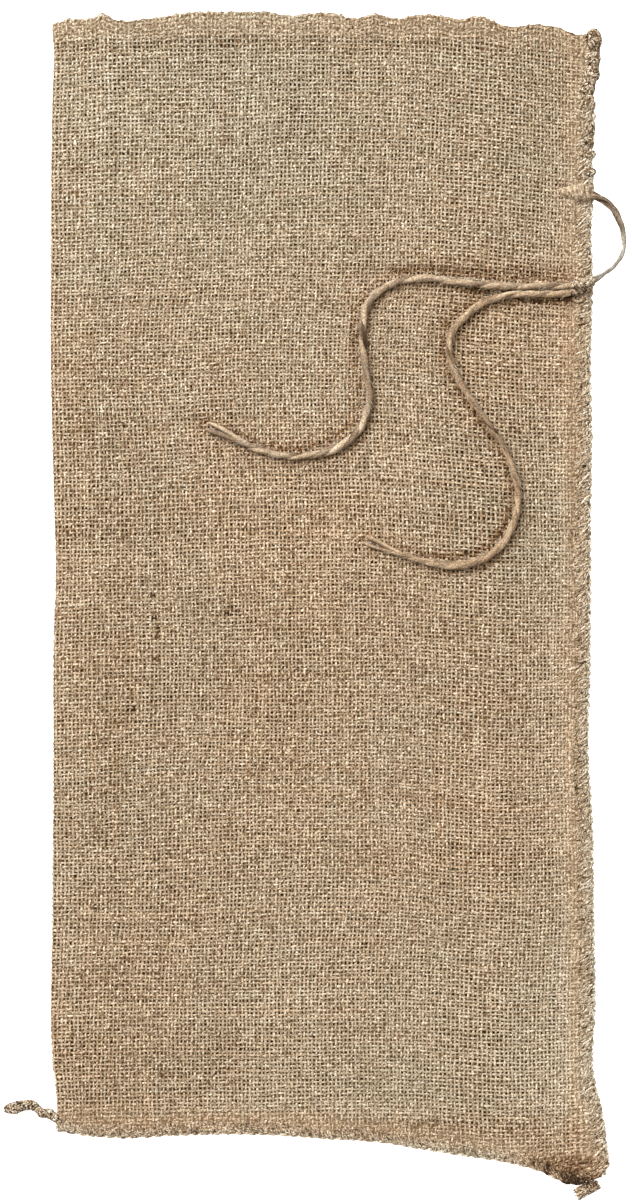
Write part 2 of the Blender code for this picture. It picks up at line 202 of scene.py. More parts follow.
@dataclass(frozen=True)
class SackForm:
    """The lying sack's outline and loft, which are the part's own."""

    width: float = 350.0
    length: float = 735.0
    fold_height: float = 3.6
    seam_height: float = 4.6
    body_loft: float = 9.0
    mouth_loft: float = 10.6
    fold_reach: float = 45.0
    seam_band: float = 12.0
    band_fade: float = 3.0
    seam_reach: float = 50.0
    mouth_reach: float = 120.0
    edge_round: float = 2.6
    on_edge: float = 0.05
    groove_depth: float = 0.25
    groove_inset: float = 11.5
    groove_width: float = 2.0
    hem_depth: float = 16.0
    hem_rise: float = 0.6
    hem_step: float = 3.0
    hem_turn: float = 0.95
    bump_reach: float = 24.0
    drift_reach: float = 60.0
    fold_pull: float = 30.0
    seam_pull: float = 16.0
    rounds: int = 4
    ripples: tuple[Triple, ...] = ((0.34, 7.1, 0.4), (0.26, 4.3, 2.0), (0.22, 11.7, 4.4))
    swells: tuple[Swell, ...] = rows_of(
        Swell, (0.35, 150.0, 210.0, 0.6), (0.25, -95.0, 130.0, 2.1), (0.18, 70.0, -310.0, 4.0)
    )
    fold: Edge = Edge((
        (-344.5, -177.6), (-328, -177), (-299, -180.2), (-240.5, -180.7), (-163, -180), (-85, -179.3),
        (-27, -179.3), (15.5, -177.8), (64, -179), (129, -180.7), (194, -181.2), (265, -180.9), (323, -180),
        (362, -179.3), (373, -180.4),
    ))
    seam: Edge = Edge((
        (-376, 177.5), (-367.5, 181), (-351, 179.3), (-331, 176.5), (-315, 172.3), (-260, 172.2),
        (-195, 171.2), (-143, 170.3), (-95, 167.5), (-52.5, 168.7), (-0.5, 169.3), (51, 169.3), (103, 170),
        (161, 169.3), (206.5, 170.6), (239, 169.6), (265, 171.2), (284, 170.3), (310, 172), (328, 172.6),
        (340, 175.8), (365, 177),
    ))
    base: Edge = Edge((
        (-177.6, -344.5), (-164, -347), (-129, -349.5), (-106, -348.2), (-70.5, -347), (-38, -347.5),
        (1, -350.2), (33, -352.2), (59, -356.5), (85, -360.6), (117.5, -365.8), (137, -371), (156.5, -379.5),
        (169, -379), (177.5, -376),
    ))
    mouth: Edge = Edge((
        (-180.4, 373), (-168, 376.2), (-153.5, 376), (-146, 379), (-139, 375.2), (-116, 375.6), (-90, 379.2),
        (-57.5, 379.8), (-41, 380), (-25, 377.4), (-9, 379), (7.5, 378.2), (17, 375.4), (28.5, 378.6),
        (43, 375.4), (58, 377.8), (71, 377.6), (86.5, 374.8), (96, 377.2), (105, 375.2), (115, 370.4),
        (134, 372.2), (150, 370.2), (163, 365.8), (170, 369), (177, 365),
    ))
    base_line: Edge = Edge(((-180, -346.5), (-90, -348), (0, -350.5), (60, -356), (110, -364.5), (180, -379)))
    mouth_line: Edge = Edge(((-180, 375.5), (-90, 378), (0, 378.5), (60, 377.5), (120, 372.5), (180, 366.5)))
    lowest_pick: Edge = Edge((
        (-180, -381.5), (-142, -380.2), (-77, -378.8), (-12, -378.2), (53, -379), (85, -380.8), (117, -382),
        (150, -380.2), (180, -377.5),
    ))
    end_drift: Edge = Edge((
        (-380, 1), (-299, -1.5), (-247, -1), (-195, 0.6), (-92, 1.8), (-40, 2.4), (12, 2.2), (64, 1.2),
        (116, -1.6), (168, -2.6), (219, 0.4), (271, 1.8), (323, 3), (380, 2.6),
    ))
    woven_from: Pair = (-180.0, -380.0)
    woven_to: Pair = (171.0, 377.0)

    @property
    def fold_arc(self) -> float:
        """Length round a quarter of the fold."""
        return np.pi / 2 * np.hypot(self.edge_round, self.fold_height / 2) / 2**0.5

    def mouth_edge(self, x: Array) -> Array:
        """Gives the mouth's edge with its fine ripples."""
        waves = sum(size * np.sin(2 * np.pi * x / long + turn) for size, long, turn in self.ripples)
        return self.mouth.at(x) + waves

    def insets(self, x: Array, y: Array) -> tuple[Array, ...]:
        """Gives the distances to the fold, the side seam, the bottom seam and the mouth."""
        return x - self.fold.at(y), self.seam.at(y) - x, y - self.base.at(x), self.mouth.at(x) - y

    def front_height(self, x: Array, y: Array, insets: tuple[Array, ...]) -> Array:
        """Gives the height of the front layer's face, without the rounding of the closed edges.

        Args:
            x: Places across the sack.
            y: Places along it.
            insets: What insets gives for them.

        Returns:
            Heights over the floor.
        """
        fold, seam, base, mouth = insets
        swollen = (
            ease(fold / self.fold_reach)
            * ease((seam - self.seam_band) / self.seam_reach)
            * ease((base - self.seam_band) / self.seam_reach)
        )
        sewn = 1.0 - ease(np.minimum(seam, base) / self.seam_reach)
        edge = self.fold_height + (self.seam_height - self.fold_height) * sewn
        loft = self.body_loft + (self.mouth_loft - self.body_loft) * ease(1.0 - mouth / self.mouth_reach)
        waves = sum(
            swell.height * np.sin(2 * np.pi * (x / swell.across + y / swell.along) + swell.phase)
            for swell in self.swells
        )
        grooves = sum(
            self.groove_depth * np.exp(-(((inset - self.groove_inset) / self.groove_width) ** 2))
            for inset in (seam, base)
        )
        hem = self.hem_rise * (1.0 - ease((mouth - self.hem_depth) / self.hem_step))
        return edge + (loft + waves - edge) * swollen - grooves + hem

    def from_fold(self, way: Array) -> Array:
        """Gives how far a place is from the fold, seen from above, by its way round the fold."""
        arc, turn = self.fold_arc, self.edge_round
        round_it = turn * (1.0 - np.cos(np.clip(way / arc, 0.0, 1.0) * np.pi / 2))
        return np.where(way < arc, round_it, way - arc + turn)

    def plan(self, across: Array, along: Array) -> tuple[Array, Array]:
        """Finds where a place of the weave lies, seen from above.

        Args:
            across: Share of the way from the fold to the side seam, measured round the fold.
            along: Share of the way from the bottom seam to the mouth, over 1 past the mouth.

        Returns:
            x and y.
        """
        y = self.base_line.rows[0][1] + along * self.length
        for _ in range(self.rounds):
            left, right = self.fold.at(y), self.seam.at(y)
            x = left + self.from_fold(across * (right - left + self.fold_arc - self.edge_round))
            low, high = self.base_line.at(x), self.mouth_line.at(x)
            level = low + along * (high - low)
            near_base = ease(1.0 - (level - low) / self.bump_reach)
            near_mouth = ease(1.0 - (high - level) / self.bump_reach)
            y = level + (self.base.at(x) - low) * near_base + (self.mouth_edge(x) - high) * near_mouth
        return x, y

    def thread_plan(self, across: Array, along: Array) -> tuple[Array, Array]:
        """Finds where a place on a thread lies, seen from above.

        Args:
            across: How far it is from the fold, measured round the fold.
            along: How far it is above the lowest pick.

        Returns:
            x and y.
        """
        (left, bottom), (right, top) = self.woven_from, self.woven_to
        to_left = self.from_fold(across)
        to_right = right - left - to_left
        share, reach = along / (top - bottom), self.drift_reach
        y = bottom + along
        for _ in range(self.rounds):
            drift = self.end_drift.at(y) * ease(to_left / reach) * ease(to_right / reach)
            x = left + to_left + drift
            x += (self.fold.at(y) - left) * ease(1.0 - to_left / self.fold_pull)
            x += (self.seam.at(y) - right) * ease(1.0 - to_right / self.seam_pull)
            low, high = self.lowest_pick.at(x), self.mouth_line.at(x)
            level = low + share * (high - low)
            y = level + (self.mouth_edge(x) - high) * ease(1.0 - (high - level) / self.bump_reach)
        return x, y

    def face(self, x: Array, y: Array, side: Array) -> Spot:
        """Finds places on the outer face.

        Args:
            x: Places across the sack.
            y: Places along it.
            side: 1 on the front, -1 on the back.

        Returns:
            The places, and the directions out of the face.
        """
        insets = self.insets(x, y)
        half = self.front_height(x, y, insets) / 2
        closed = np.stack(insets[:3])
        nearest = closed.argmin(axis=0)
        inset = closed.min(axis=0)
        turned = np.where(inset < self.on_edge, 1.0, 1.0 - np.clip(inset / self.edge_round, 0.0, 1.0))
        swing = np.sqrt(1.0 - turned**2)
        out, up = turned / self.edge_round, swing / half
        size = np.hypot(out, up)
        out, up = out / size, up / size * side
        aside = out * np.choose(nearest, (-1.0, 1.0, 0.0))
        ahead = out * np.choose(nearest, (0.0, 0.0, -1.0))
        outward = np.stack([aside, ahead, up], axis=-1)
        return Spot(np.stack([x, y, half + half * swing * side], axis=-1), outward)

    def height(self, x: Array, y: Array) -> Array:
        """Gives the height of places on the front."""
        return self.face(x, y, np.ones_like(x)).points[..., 2]

    def place(self, x: Array, y: Array, side: Array, height: Array) -> Array:
        """Finds points over the weave, also round the fold and round the hem's turn at the mouth.

        Args:
            x: Places across the sack.
            y: Places along it, past the mouth's edge for those that the hem turns in.
            side: 1 on the front, -1 on the back.
            height: How far out of the face.

        Returns:
            Points.
        """
        past = self.hem_turn - (self.mouth_edge(x) - y)
        angle = np.clip(past / self.hem_turn, 0.0, np.pi)[..., None]
        inwards = np.maximum(past - np.pi * self.hem_turn, 0.0)
        spot = self.face(x, y - np.maximum(past, 0.0) - inwards, side)
        towards = np.array([0.0, 1.0, 0.0])
        return (
            spot.points
            + towards * self.hem_turn * np.sin(angle)
            - spot.outward * self.hem_turn * (1.0 - np.cos(angle))
            + (spot.outward * np.cos(angle) + towards * np.sin(angle)) * height[..., None]
        )

    def band(self, x: Array, y: Array) -> Array:
        """Gives 1 in the overcast band along the side and bottom seams and 0 away from it."""
        _, seam, base, _ = self.insets(x, y)
        return 1.0 - ease((np.minimum(seam, base) - self.seam_band + self.band_fade) / self.band_fade)


# ---------------------------------------------------------------- meshes


class Piece:
    """A mesh that is put together from arrays."""

    def __init__(self, name: str, points: Array, faces: Array) -> None:
        """Makes the mesh and shows it.

        Args:
            name: The object's name.
            points: Vertices by coordinates, in millimetres.
            faces: Quads by vertices.
        """
        mesh = bpy.data.meshes.new(name)
        mesh.vertices.add(len(points))
        mesh.vertices.foreach_set("co", (points * MM).astype(np.float32).ravel())
        mesh.loops.add(faces.size)
        mesh.loops.foreach_set("vertex_index", faces.astype(np.int32).ravel())
        mesh.polygons.add(len(faces))
        mesh.polygons.foreach_set("loop_start", np.arange(0, faces.size, faces.shape[1], dtype=np.int32))
        mesh.update(calc_edges=True)
        mesh.validate()
        mesh.shade_smooth()
        self.faces = faces
        self.object = bpy.data.objects.new(name, mesh)
        bpy.context.scene.collection.objects.link(self.object)

    def value(self, name: str, values: Array) -> None:
        """Gives each vertex a number that the finish reads."""
        layer = self.object.data.attributes.new(name, "FLOAT", "POINT")
        layer.data.foreach_set("value", values.astype(np.float32).ravel())

    def map(self, name: str, places: Array) -> None:
        """Gives the mesh a flat map from its vertices' places on it."""
        layer = self.object.data.uv_layers.new(name=name, do_init=False)
        layer.uv.foreach_set("vector", places[self.faces.ravel()].astype(np.float32).ravel())

    def dress(self, slot: Slot, *materials: Material) -> None:
        """Gives the mesh its materials, and says that it rides with the sack."""
        for material in materials:
            self.object.data.materials.append(material)
        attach(self.object, BODY)
        log.info("%s: %d faces", self.object.name, len(self.object.data.polygons))

    def as_yarn(self, tone: Array, warmth: Array, places: Array, slot: Slot, material: Material) -> None:
        """Dresses the mesh in spun jute.

        Args:
            tone: From 0, shaded, to 1, bleached, for each vertex.
            warmth: From 0, grey, to 1, brown, for each vertex.
            places: How far across and along the yarn each vertex is, in rows of two.
            slot: Its material slot, handed on to dress.
            material: The yarn's finish.
        """
        self.value("tone", np.clip(tone, 0.0, 1.0))
        self.value("warmth", np.clip(warmth, 0.0, 1.0))
        self.map("Yarn", places.reshape(-1, 2))
        self.dress(slot, material)


def strips(count: int, rows: int, columns: int, closed: bool = False) -> Array:
    """Joins the points of equal grids into quads.

    Args:
        count: How many grids there are.
        rows: Points down each grid.
        columns: Points across it.
        closed: Whether the last column joins the first.

    Returns:
        Quads by vertices.
    """
    down = np.arange(rows - 1)[:, None] * columns
    across = np.arange(columns if closed else columns - 1)[None, :]
    after = (across + 1) % columns
    one = np.stack([down + across, down + after, down + columns + after, down + columns + across], axis=-1)
    starts = np.arange(count)[:, None, None] * rows * columns
    return (one.reshape(1, -1, 4) + starts).reshape(-1, 4)


def tubes(paths: Array, radii: Array, sides: int, across: Sequence[float]) -> tuple[Array, Array]:
    """Sweeps round sections along paths of equal counts.

    Args:
        paths: Paths by points by coordinates.
        radii: Radius at each point of each path.
        sides: Points round a section.
        across: A direction that no path runs along.

    Returns:
        Points and quads.
    """
    ahead = unit(np.gradient(paths, axis=1))
    first = unit(np.cross(ahead, np.broadcast_to(across, paths.shape)))
    second = np.cross(ahead, first)
    angles = np.arange(sides) * 2 * np.pi / sides
    ring = first[:, :, None] * np.cos(angles)[:, None] + second[:, :, None] * np.sin(angles)[:, None]
    points = paths[:, :, None] + ring * radii[:, :, None, None]
    count, rows = paths.shape[:2]
    return points.reshape(-1, 3), strips(count, rows, sides, closed=True)


@dataclass(frozen=True)
class Spin:
    """How swept yarn is uneven, from yarn to yarn and along or round each."""

    own_tone: float = 0.06
    streaks: float = 0.13
    streak_spread: Pair = (5.0, 0.5)
    grain: float = 0.17
    own_warmth: float = 0.14
    shift: float = 5.3

    def sweep(
        self,
        name: str,
        slot: Slot,
        material: Material,
        paths: Array,
        radii: Array,
        across: Sequence[float],
        sides: int,
        seed: int,
        tone: float | Array,
        warmth: float | Array,
        streaked: bool = False,
    ) -> bpy.types.Object:
        """Sweeps yarn along paths and dresses it.

        Args:
            name: The piece's name.
            slot: Its material slot, handed on.
            material: Its finish.
            paths: The paths, by points by coordinates.
            radii: The yarn's radius at each point of each path.
            across: A direction that no path runs along.
            sides: Points round a section.
            seed: What its unevenness comes from.
            tone: From 0, shaded, to 1, bleached, for all of it or for each point of a path.
            warmth: From 0, grey, to 1, brown, given as the tone is.
            streaked: Whether it is uneven round each section, in streaks along it, rather than along it.

        Returns:
            The piece's object.
        """
        points, faces = tubes(paths, radii, sides, across)
        points[:, 2] = np.maximum(points[:, 2], LOWEST)
        rng = np.random.default_rng([seed, len(paths)])
        shape = (*paths.shape[:2], sides)
        uneven = rng.standard_normal((shape[0], 1, 1)) * self.own_tone
        if streaked:
            streaks = np.stack([soft_noise(rng, shape[1:], self.streak_spread) for _ in paths])
            uneven = uneven + self.streaks * streaks
        else:
            uneven = uneven + rng.standard_normal((*shape[:2], 1)) * self.grain
        tones = np.atleast_2d(tone)[..., None] + uneven + np.zeros(shape)
        tints = np.atleast_2d(warmth)[..., None] + rng.standard_normal((shape[0], 1, 1)) * self.own_warmth
        way = np.stack([way_along(path) for path in paths]) + np.arange(shape[0])[:, None] * self.shift
        turn = np.arange(sides) * 2 * np.pi / sides
        round_it = np.minimum(turn, 2 * np.pi - turn)[None, None] * radii[..., None]
        places = np.stack([round_it, way[..., None] + np.zeros(shape)], axis=-1)
        piece = Piece(name, points, faces)
        piece.as_yarn(tones, tints + np.zeros(shape), places, slot, material)
        return piece.object


SPIN = Spin()


# ---------------------------------------------------------------- finishes


class Shading:
    """A material's nodes."""

    def __init__(self, name: str, roughness: float, specular: float = 0.2, sheen: float = 0.0) -> None:
        """Starts a material from its shader's constants."""
        self.material = bpy.data.materials.new(name)
        self.material.use_nodes = True
        self.tree = self.material.node_tree
        self.shader = self.tree.nodes["Principled BSDF"]
        self.shader.inputs["Roughness"].default_value = roughness
        self.shader.inputs["Specular IOR Level"].default_value = specular
        self.shader.inputs["Sheen Weight"].default_value = sheen

    def node(self, kind: str, inputs: dict[object, object] | None = None, **settings: object) -> Node:
        """Adds a node.

        Args:
            kind: The node's type, without the ShaderNode in front.
            inputs: Values or other nodes' outputs, by the name or number of the input.
            settings: The node's own settings.

        Returns:
            The node.
        """
        node = self.tree.nodes.new("ShaderNode" + kind)
        for key, value in settings.items():
            setattr(node, key, value)
        for key, value in (inputs or {}).items():
            self.feed(node.inputs[key], value)
        return node

    def feed(self, socket: Socket, value: object) -> None:
        """Links an output to a socket, or gives the socket a constant."""
        if isinstance(value, Socket):
            self.tree.links.new(value, socket)
        else:
            socket.default_value = value

    def math(self, operation: str, *values: object) -> Socket:
        """Adds a sum of numbers or outputs, and gives its output."""
        return self.node("Math", dict(enumerate(values)), operation=operation).outputs[0]

    def times(self, one: object, other: object) -> Socket:
        """Multiplies two numbers or outputs."""
        return self.math("MULTIPLY", one, other)

    def plus(self, one: object, other: object) -> Socket:
        """Adds two numbers or outputs."""
        return self.math("ADD", one, other)

    def noise(self, place: Socket, scale: float, detail: float, roughness: float = 0.5) -> Socket:
        """Adds noise over places, and gives its strength."""
        inputs = {"Vector": place, "Scale": scale, "Detail": detail, "Roughness": roughness}
        return self.node("TexNoise", inputs).outputs[0]

    def number(self, name: str) -> Socket:
        """Reads a number that the mesh carries."""
        return self.node("Attribute", attribute_name=name).outputs["Fac"]

    def blend(self, share: object, low: object, high: object, kind: str = "MIX") -> Socket:
        """Mixes two colours."""
        node = self.node("Mix", data_type="RGBA", blend_type=kind)
        for number, value in ((0, share), (6, low), (7, high)):
            self.feed(node.inputs[number], value)
        return node.outputs[2]

    def ramp(self, share: Socket, stops: Sequence[tuple[float, Sequence[float]]]) -> Socket:
        """Turns a number into a colour by stops."""
        node = self.node("ValToRGB", {0: share})
        points = node.color_ramp.elements
        while len(points) < len(stops):
            points.new(0.5)
        for point, (place, colour) in zip(points, stops):
            point.position, point.color = place, (*colour, 1.0)
        return node.outputs[0]

    def finish(self, colour: Socket, height: Socket, depth: float) -> Material:
        """Joins the colour and the relief to the shader.

        Args:
            colour: What the base colour comes from.
            height: What the relief comes from.
            depth: The relief's depth in millimetres.

        Returns:
            The finished material.
        """
        self.feed(self.shader.inputs["Base Color"], colour)
        bump = self.node("Bump", {"Strength": 1.0, "Distance": depth * MM, "Height": height})
        self.feed(self.shader.inputs["Normal"], bump.outputs[0])
        return self.material


@dataclass(frozen=True)
class JuteYarn:
    """Spun jute: from shaded to bleached by the mesh's tone, tinted by its warmth, with fibre streaks."""

    name: str
    shaded: Colour
    middle: Colour
    bleached: Colour
    cool: tuple[float, float, float, float] = (0.93, 1.0, 1.03, 1.0)
    warm: tuple[float, float, float, float] = (1.08, 0.98, 0.90, 1.0)
    deepest_shade: float = 0.25
    twist: float = 0.6
    close: float = 2.6
    drawn_out: float = 0.5
    streak_scale: float = 1.6
    streak_roughness: float = 0.62
    streak_depth: float = 0.12
    spot_scale: float = 1000.0
    shaded_at: float = 0.1
    streaked: Stops = ((0.34, (0.62, 0.57, 0.52)), (0.64, (1.24, 1.24, 1.23)))
    mottled: Stops = ((0.36, (0.64, 0.59, 0.53)), (0.64, (1.32, 1.34, 1.36)))

    def material(self) -> Material:
        """Builds the material."""
        s = Shading(self.name, roughness=0.92, specular=0.18, sheen=0.08)
        # the darkest stop is painted shade, reached by the creases and shadows painted into the tone
        deepest_shade = tuple(self.deepest_shade * part for part in self.shaded)
        stops = ((0.0, deepest_shade), (self.shaded_at, self.shaded), (0.5, self.middle), (1.0, self.bleached))
        tone = s.ramp(s.number("tone"), stops)
        tint = s.blend(s.number("warmth"), self.cool, self.warm)
        place = s.node("SeparateXYZ", {0: s.node("UVMap", uv_map="Yarn").outputs[0]})
        across, along = place.outputs[0], place.outputs[1]
        turned = s.plus(s.times(across, self.close), s.times(along, self.twist))
        vector = s.node("CombineXYZ", {0: turned, 1: s.times(along, self.drawn_out)})
        streaks = s.noise(vector.outputs[0], self.streak_scale, 3.0, self.streak_roughness)
        shade = s.ramp(streaks, self.streaked)
        spots = s.noise(s.node("TexCoord").outputs["Object"], self.spot_scale, 1.0)
        mottle = s.ramp(spots, self.mottled)
        colour = s.blend(1.0, s.blend(1.0, tone, tint, "MULTIPLY"), shade, "MULTIPLY")
        return s.finish(s.blend(1.0, colour, mottle, "MULTIPLY"), streaks, self.streak_depth)


@dataclass(frozen=True)
class HoleShadeGround:
    """Painted shade in the holes: it stands for the layer beneath in shadow, and is paler where the cloth
    lies double.
    """

    name: str = "hole_shade_ground"
    # painted shade: the hole colours stand for the layer beneath in shadow
    shade_in_hole: Colour = (0.020, 0.009, 0.003)
    fibres: Colour = (0.135, 0.080, 0.037)
    double: Colour = (0.20, 0.136, 0.082)
    spot_scale: float = 420.0
    patch_scale: float = 26.0
    spot_share: float = 0.75
    patch_share: float = 0.2
    depth: float = 0.2

    def material(self) -> Material:
        """Builds the material."""
        s = Shading(self.name, roughness=0.95, specular=0.05)
        place = s.node("TexCoord").outputs["Object"]
        spots, patches = s.noise(place, self.spot_scale, 1.0, 0.6), s.noise(place, self.patch_scale, 2.0)
        mixed = s.plus(s.times(spots, self.spot_share), s.times(patches, self.patch_share))
        open_cloth = s.ramp(mixed, ((0.40, self.shade_in_hole), (0.54, self.fibres)))
        return s.finish(s.blend(s.number("double"), open_cloth, (*self.double, 1.0)), spots, self.depth)


@dataclass(frozen=True)
class InnerWeave:
    """The cloth's inner face: a plain weave in relief, with painted shade in the holes between its yarns."""

    name: str = "inner_weave"
    yarn: Colour = (0.42, 0.315, 0.205)
    pale: Colour = (0.52, 0.41, 0.285)
    shade_in_hole: Colour = (0.07, 0.043, 0.024)
    depth: float = 0.5

    def material(self) -> Material:
        """Builds the material."""
        s = Shading(self.name, roughness=0.93, specular=0.12)
        uv = s.node("UVMap", uv_map="Weave").outputs[0]
        place = s.node("SeparateXYZ", {0: uv})
        end = s.math("ABSOLUTE", s.math("SINE", s.times(place.outputs[0], np.pi)))
        pick = s.math("ABSOLUTE", s.math("SINE", s.times(place.outputs[1], np.pi)))
        over = s.node("TexChecker", {"Vector": uv, "Scale": 1.0}).outputs["Fac"]
        lower = s.times(s.math("MINIMUM", end, pick), 0.5)
        top = s.plus(s.times(over, end), s.times(s.math("SUBTRACT", 1.0, over), pick))
        height = s.math("MAXIMUM", top, lower)
        patches = s.noise(uv, 0.35, 4.0, 0.7)
        yarns = s.blend(patches, (*self.yarn, 1.0), (*self.pale, 1.0))
        open_by = s.math("SMOOTH_MIN", end, pick, 0.2)
        # painted shade in the holes between the yarns
        holes = s.ramp(open_by, ((0.22, (1.0, 1.0, 1.0)), (0.46, (0.0, 0.0, 0.0))))
        return s.finish(s.blend(s.times(holes, 0.9), yarns, (*self.shade_in_hole, 1.0)), height, self.depth)


CLOTH_YARN = JuteYarn("jute_yarn", (0.108, 0.057, 0.020), (0.375, 0.303, 0.218), (0.70, 0.632, 0.527))
SEAM_YARN = JuteYarn("overcast_yarn", (0.108, 0.062, 0.028), (0.376, 0.310, 0.224), (0.66, 0.602, 0.518))
TWINE_YARN = JuteYarn(
    "twine_yarn",
    (0.105, 0.064, 0.033),
    (0.355, 0.285, 0.200),
    (0.64, 0.575, 0.45),
    cool=(0.82, 1.0, 1.30, 1.0),
    twist=0.5,
)


# ---------------------------------------------------------------- the cloth


class Run(Enum):
    """Which way a yarn of the cloth runs."""

    ENDS = "ends"
    PICKS = "picks"


class HumpCut(NamedTuple):
    """The points of one hump of yarn: lengthwise in shares of the way to the next crossing, and across it."""


    stations: tuple[float, ...]
    heights: tuple[float, ...]
    widths: tuple[float, ...]
    sides: tuple[float, ...]
    falls: tuple[float, ...]


FRONT_HUMP = HumpCut(
    stations=(-0.94, -0.38, 0.38, 0.94),
    heights=(-0.66, 0.0, 0.0, -0.66),
    widths=(0.9, 1.0, 1.0, 0.9),
    sides=(-1.0, 0.0, 1.0),
    falls=(1.0, 0.0, 1.0),
)
BACK_HUMP = HumpCut((-0.9, 0.0, 0.9), (-0.8, 0.0, -0.8), (0.85, 1.0, 0.85), (-1.0, 1.0), (0.5, 0.5))


@dataclass(frozen=True)
class Patch:
    """A patch of cloth that is paler or darker, greyer or browner, or more open, than the rest."""

    x: float
    y: float
    across: float
    along: float
    tone: float
    warmth: float
    opened: float = 0.0

    def weight(self, x: Array, y: Array) -> Array:
        """Gives how much of the patch each place has."""
        return np.exp(-(((x - self.x) / self.across) ** 2) - ((y - self.y) / self.along) ** 2)


# Most patches are the cloth's own paler, darker, greyer or browner colour; some are painted shade: thin dark
# lines in the seam grooves, dark lines and spots close by the tie, and the dark crease and spots at the
# bottom right corner by the tab.
PATCHES = rows_of(
    Patch,
    (-60, 320, 170, 120, 0, -1.5), (145, -230, 45, 190, 0.3, -0.5), (95, -320, 110, 30, 0.25, -0.6),
    (-105, -240, 28, 90, -0.45, 0.4), (80, 190, 90, 60, -0.3, 0.5), (85, 60, 40, 60, -0.25, 0.5),
    (-40, 90, 60, 30, -0.25, 0.2), (-150, 60, 60, 160, 0, 0.4), (0, 372, 400, 11, -0.9, 0.9),
    (-40, 357, 200, 4, -0.3, 0.3, 0.14), (56, 213.5, 34, 3.2, -1.9, 0.6, 0.28),
    (125, 211, 48, 3.4, -1.7, 0.6, 0.24), (16, 167, 2.6, 22, -1.2, 0.2, 0.2),
    (74, 170, 2.6, 14, -0.9, 0.2, 0.15), (156.5, 194.5, 3, 3.2, -6, 0.8, 0.3),
    (150, 193.2, 8, 1.6, -4.5, 0.8, 0.2), (134, 192.4, 14, 1.3, -4, 0.8, 0.2),
    (95, 199.9, 6, 1.8, -6, 1, 0.3), (101, 198, 3.5, 1.4, -5, 1, 0.3), (148, -370, 15, 8, -4.6, 2.6),
    (156, -371, 24, 12, -0.8, 2.8), (152, -190, 10, 130, 1, -1), (150, 70, 10, 110, 0.7, -0.3),
    (-50, -328, 170, 10, 0.1, -0.5), (-20, -338.5, 190, 4, -0.8, 0.6), (-150, -130, 28, 260, -0.8, 0),
    (-150, 130, 28, 70, -0.6, 0), (140, -300, 40, 45, 1, 0), (20, -300, 130, 40, 0.45, 0),
    (-115, -15, 80, 50, 0, -1.2), (-150, 220, 30, 170, 0, -1), (168, -371, 10, 8, -1.8, 1.6),
    (126, -365, 20, 5, -1.6, 1.6), (160, -110, 2, 90, -1.4, 0.3), (162.5, -240, 2, 90, -1.4, 0.3),
    (157.8, 70, 2.2, 110, -1.4, 0.3), (162, -378.3, 12, 2.6, -12, 1.6, 0.2), (157, -374, 5, 3.5, -4, 0.8),
    (165.4, -365.1, 4.5, 1.4, -7, 0.6, 0.2), (142, -367.8, 1.8, 1.8, -7, 0.4, 0.2),
    (140.6, -371.6, 2, 1.6, -7, 0.4), (20, -348, 190, 7, -1.3, 1.3), (-40, -50, 120, 110, -0.45, 0.1),
    (158, 0, 9, 500, -0.6, 0.7, -0.14), (0, -336, 250, 9, -0.3, 0.4, -0.12),
    (96, -92, 5, 4, 1.6, -0.6, -0.25), (89, -89, 3, 2.5, -3, 0.4, 0.3), (-166, -3.5, 9, 2.2, 2.2, -0.8, -0.2),
)
FLECK = (1.45, 1.45, -12.0, 0.4, 0.45)
FLECKS = (
    (-114.2, 2.3), (-112.6, -12.6), (-111, -19.1), (-111.6, -24.3), (-111.6, -39.9), (-63.3, -5.5),
    (-65.6, -10), (-125.5, -71.6),
)


class Crease(NamedTuple):
    """The painted shade lines beside a leg of the tie: how far to the right of its way they lie, and their
    tones.

    They hold at a place, in millimetres along the leg, and change evenly to the next one.
    """

    way: float
    left: float
    left_tone: float
    right: float
    right_tone: float


LONG_CREASES = rows_of(
    Crease,
    (120, -4.6, 0, 4.5, -0.08), (168, -5, -0.12, 6, -0.2), (208, -4.2, -0.14, 5.2, -0.14),
    (249, -4.8, -0.06, 5.2, -0.1), (289, -4.2, -0.05, 6, -0.12), (330, -5.4, -0.1, 6.4, -0.28),
    (370, -4, -0.06, 4.1, -0.28), (411, -3.6, -0.06, 3.4, -0.32), (440, -3.6, 0, 3.4, -0.2),
)
SHORT_CREASES = rows_of(
    Crease,
    (120, -4.6, -0.1, 5, 0), (149, -5, -0.16, 4.5, -0.04), (189, -4.2, -0.1, 4.4, -0.16),
    (228, -3.2, 0, 2.8, -0.26), (267, -3.2, 0.06, 3.4, -0.24), (306, -3.4, 0.06, 3, -0.3),
    (346, -5.4, -0.1, 4.3, -0.44), (385, -5, -0.08, 5.7, -0.34), (424, -3.6, 0, 2.2, -0.22),
)


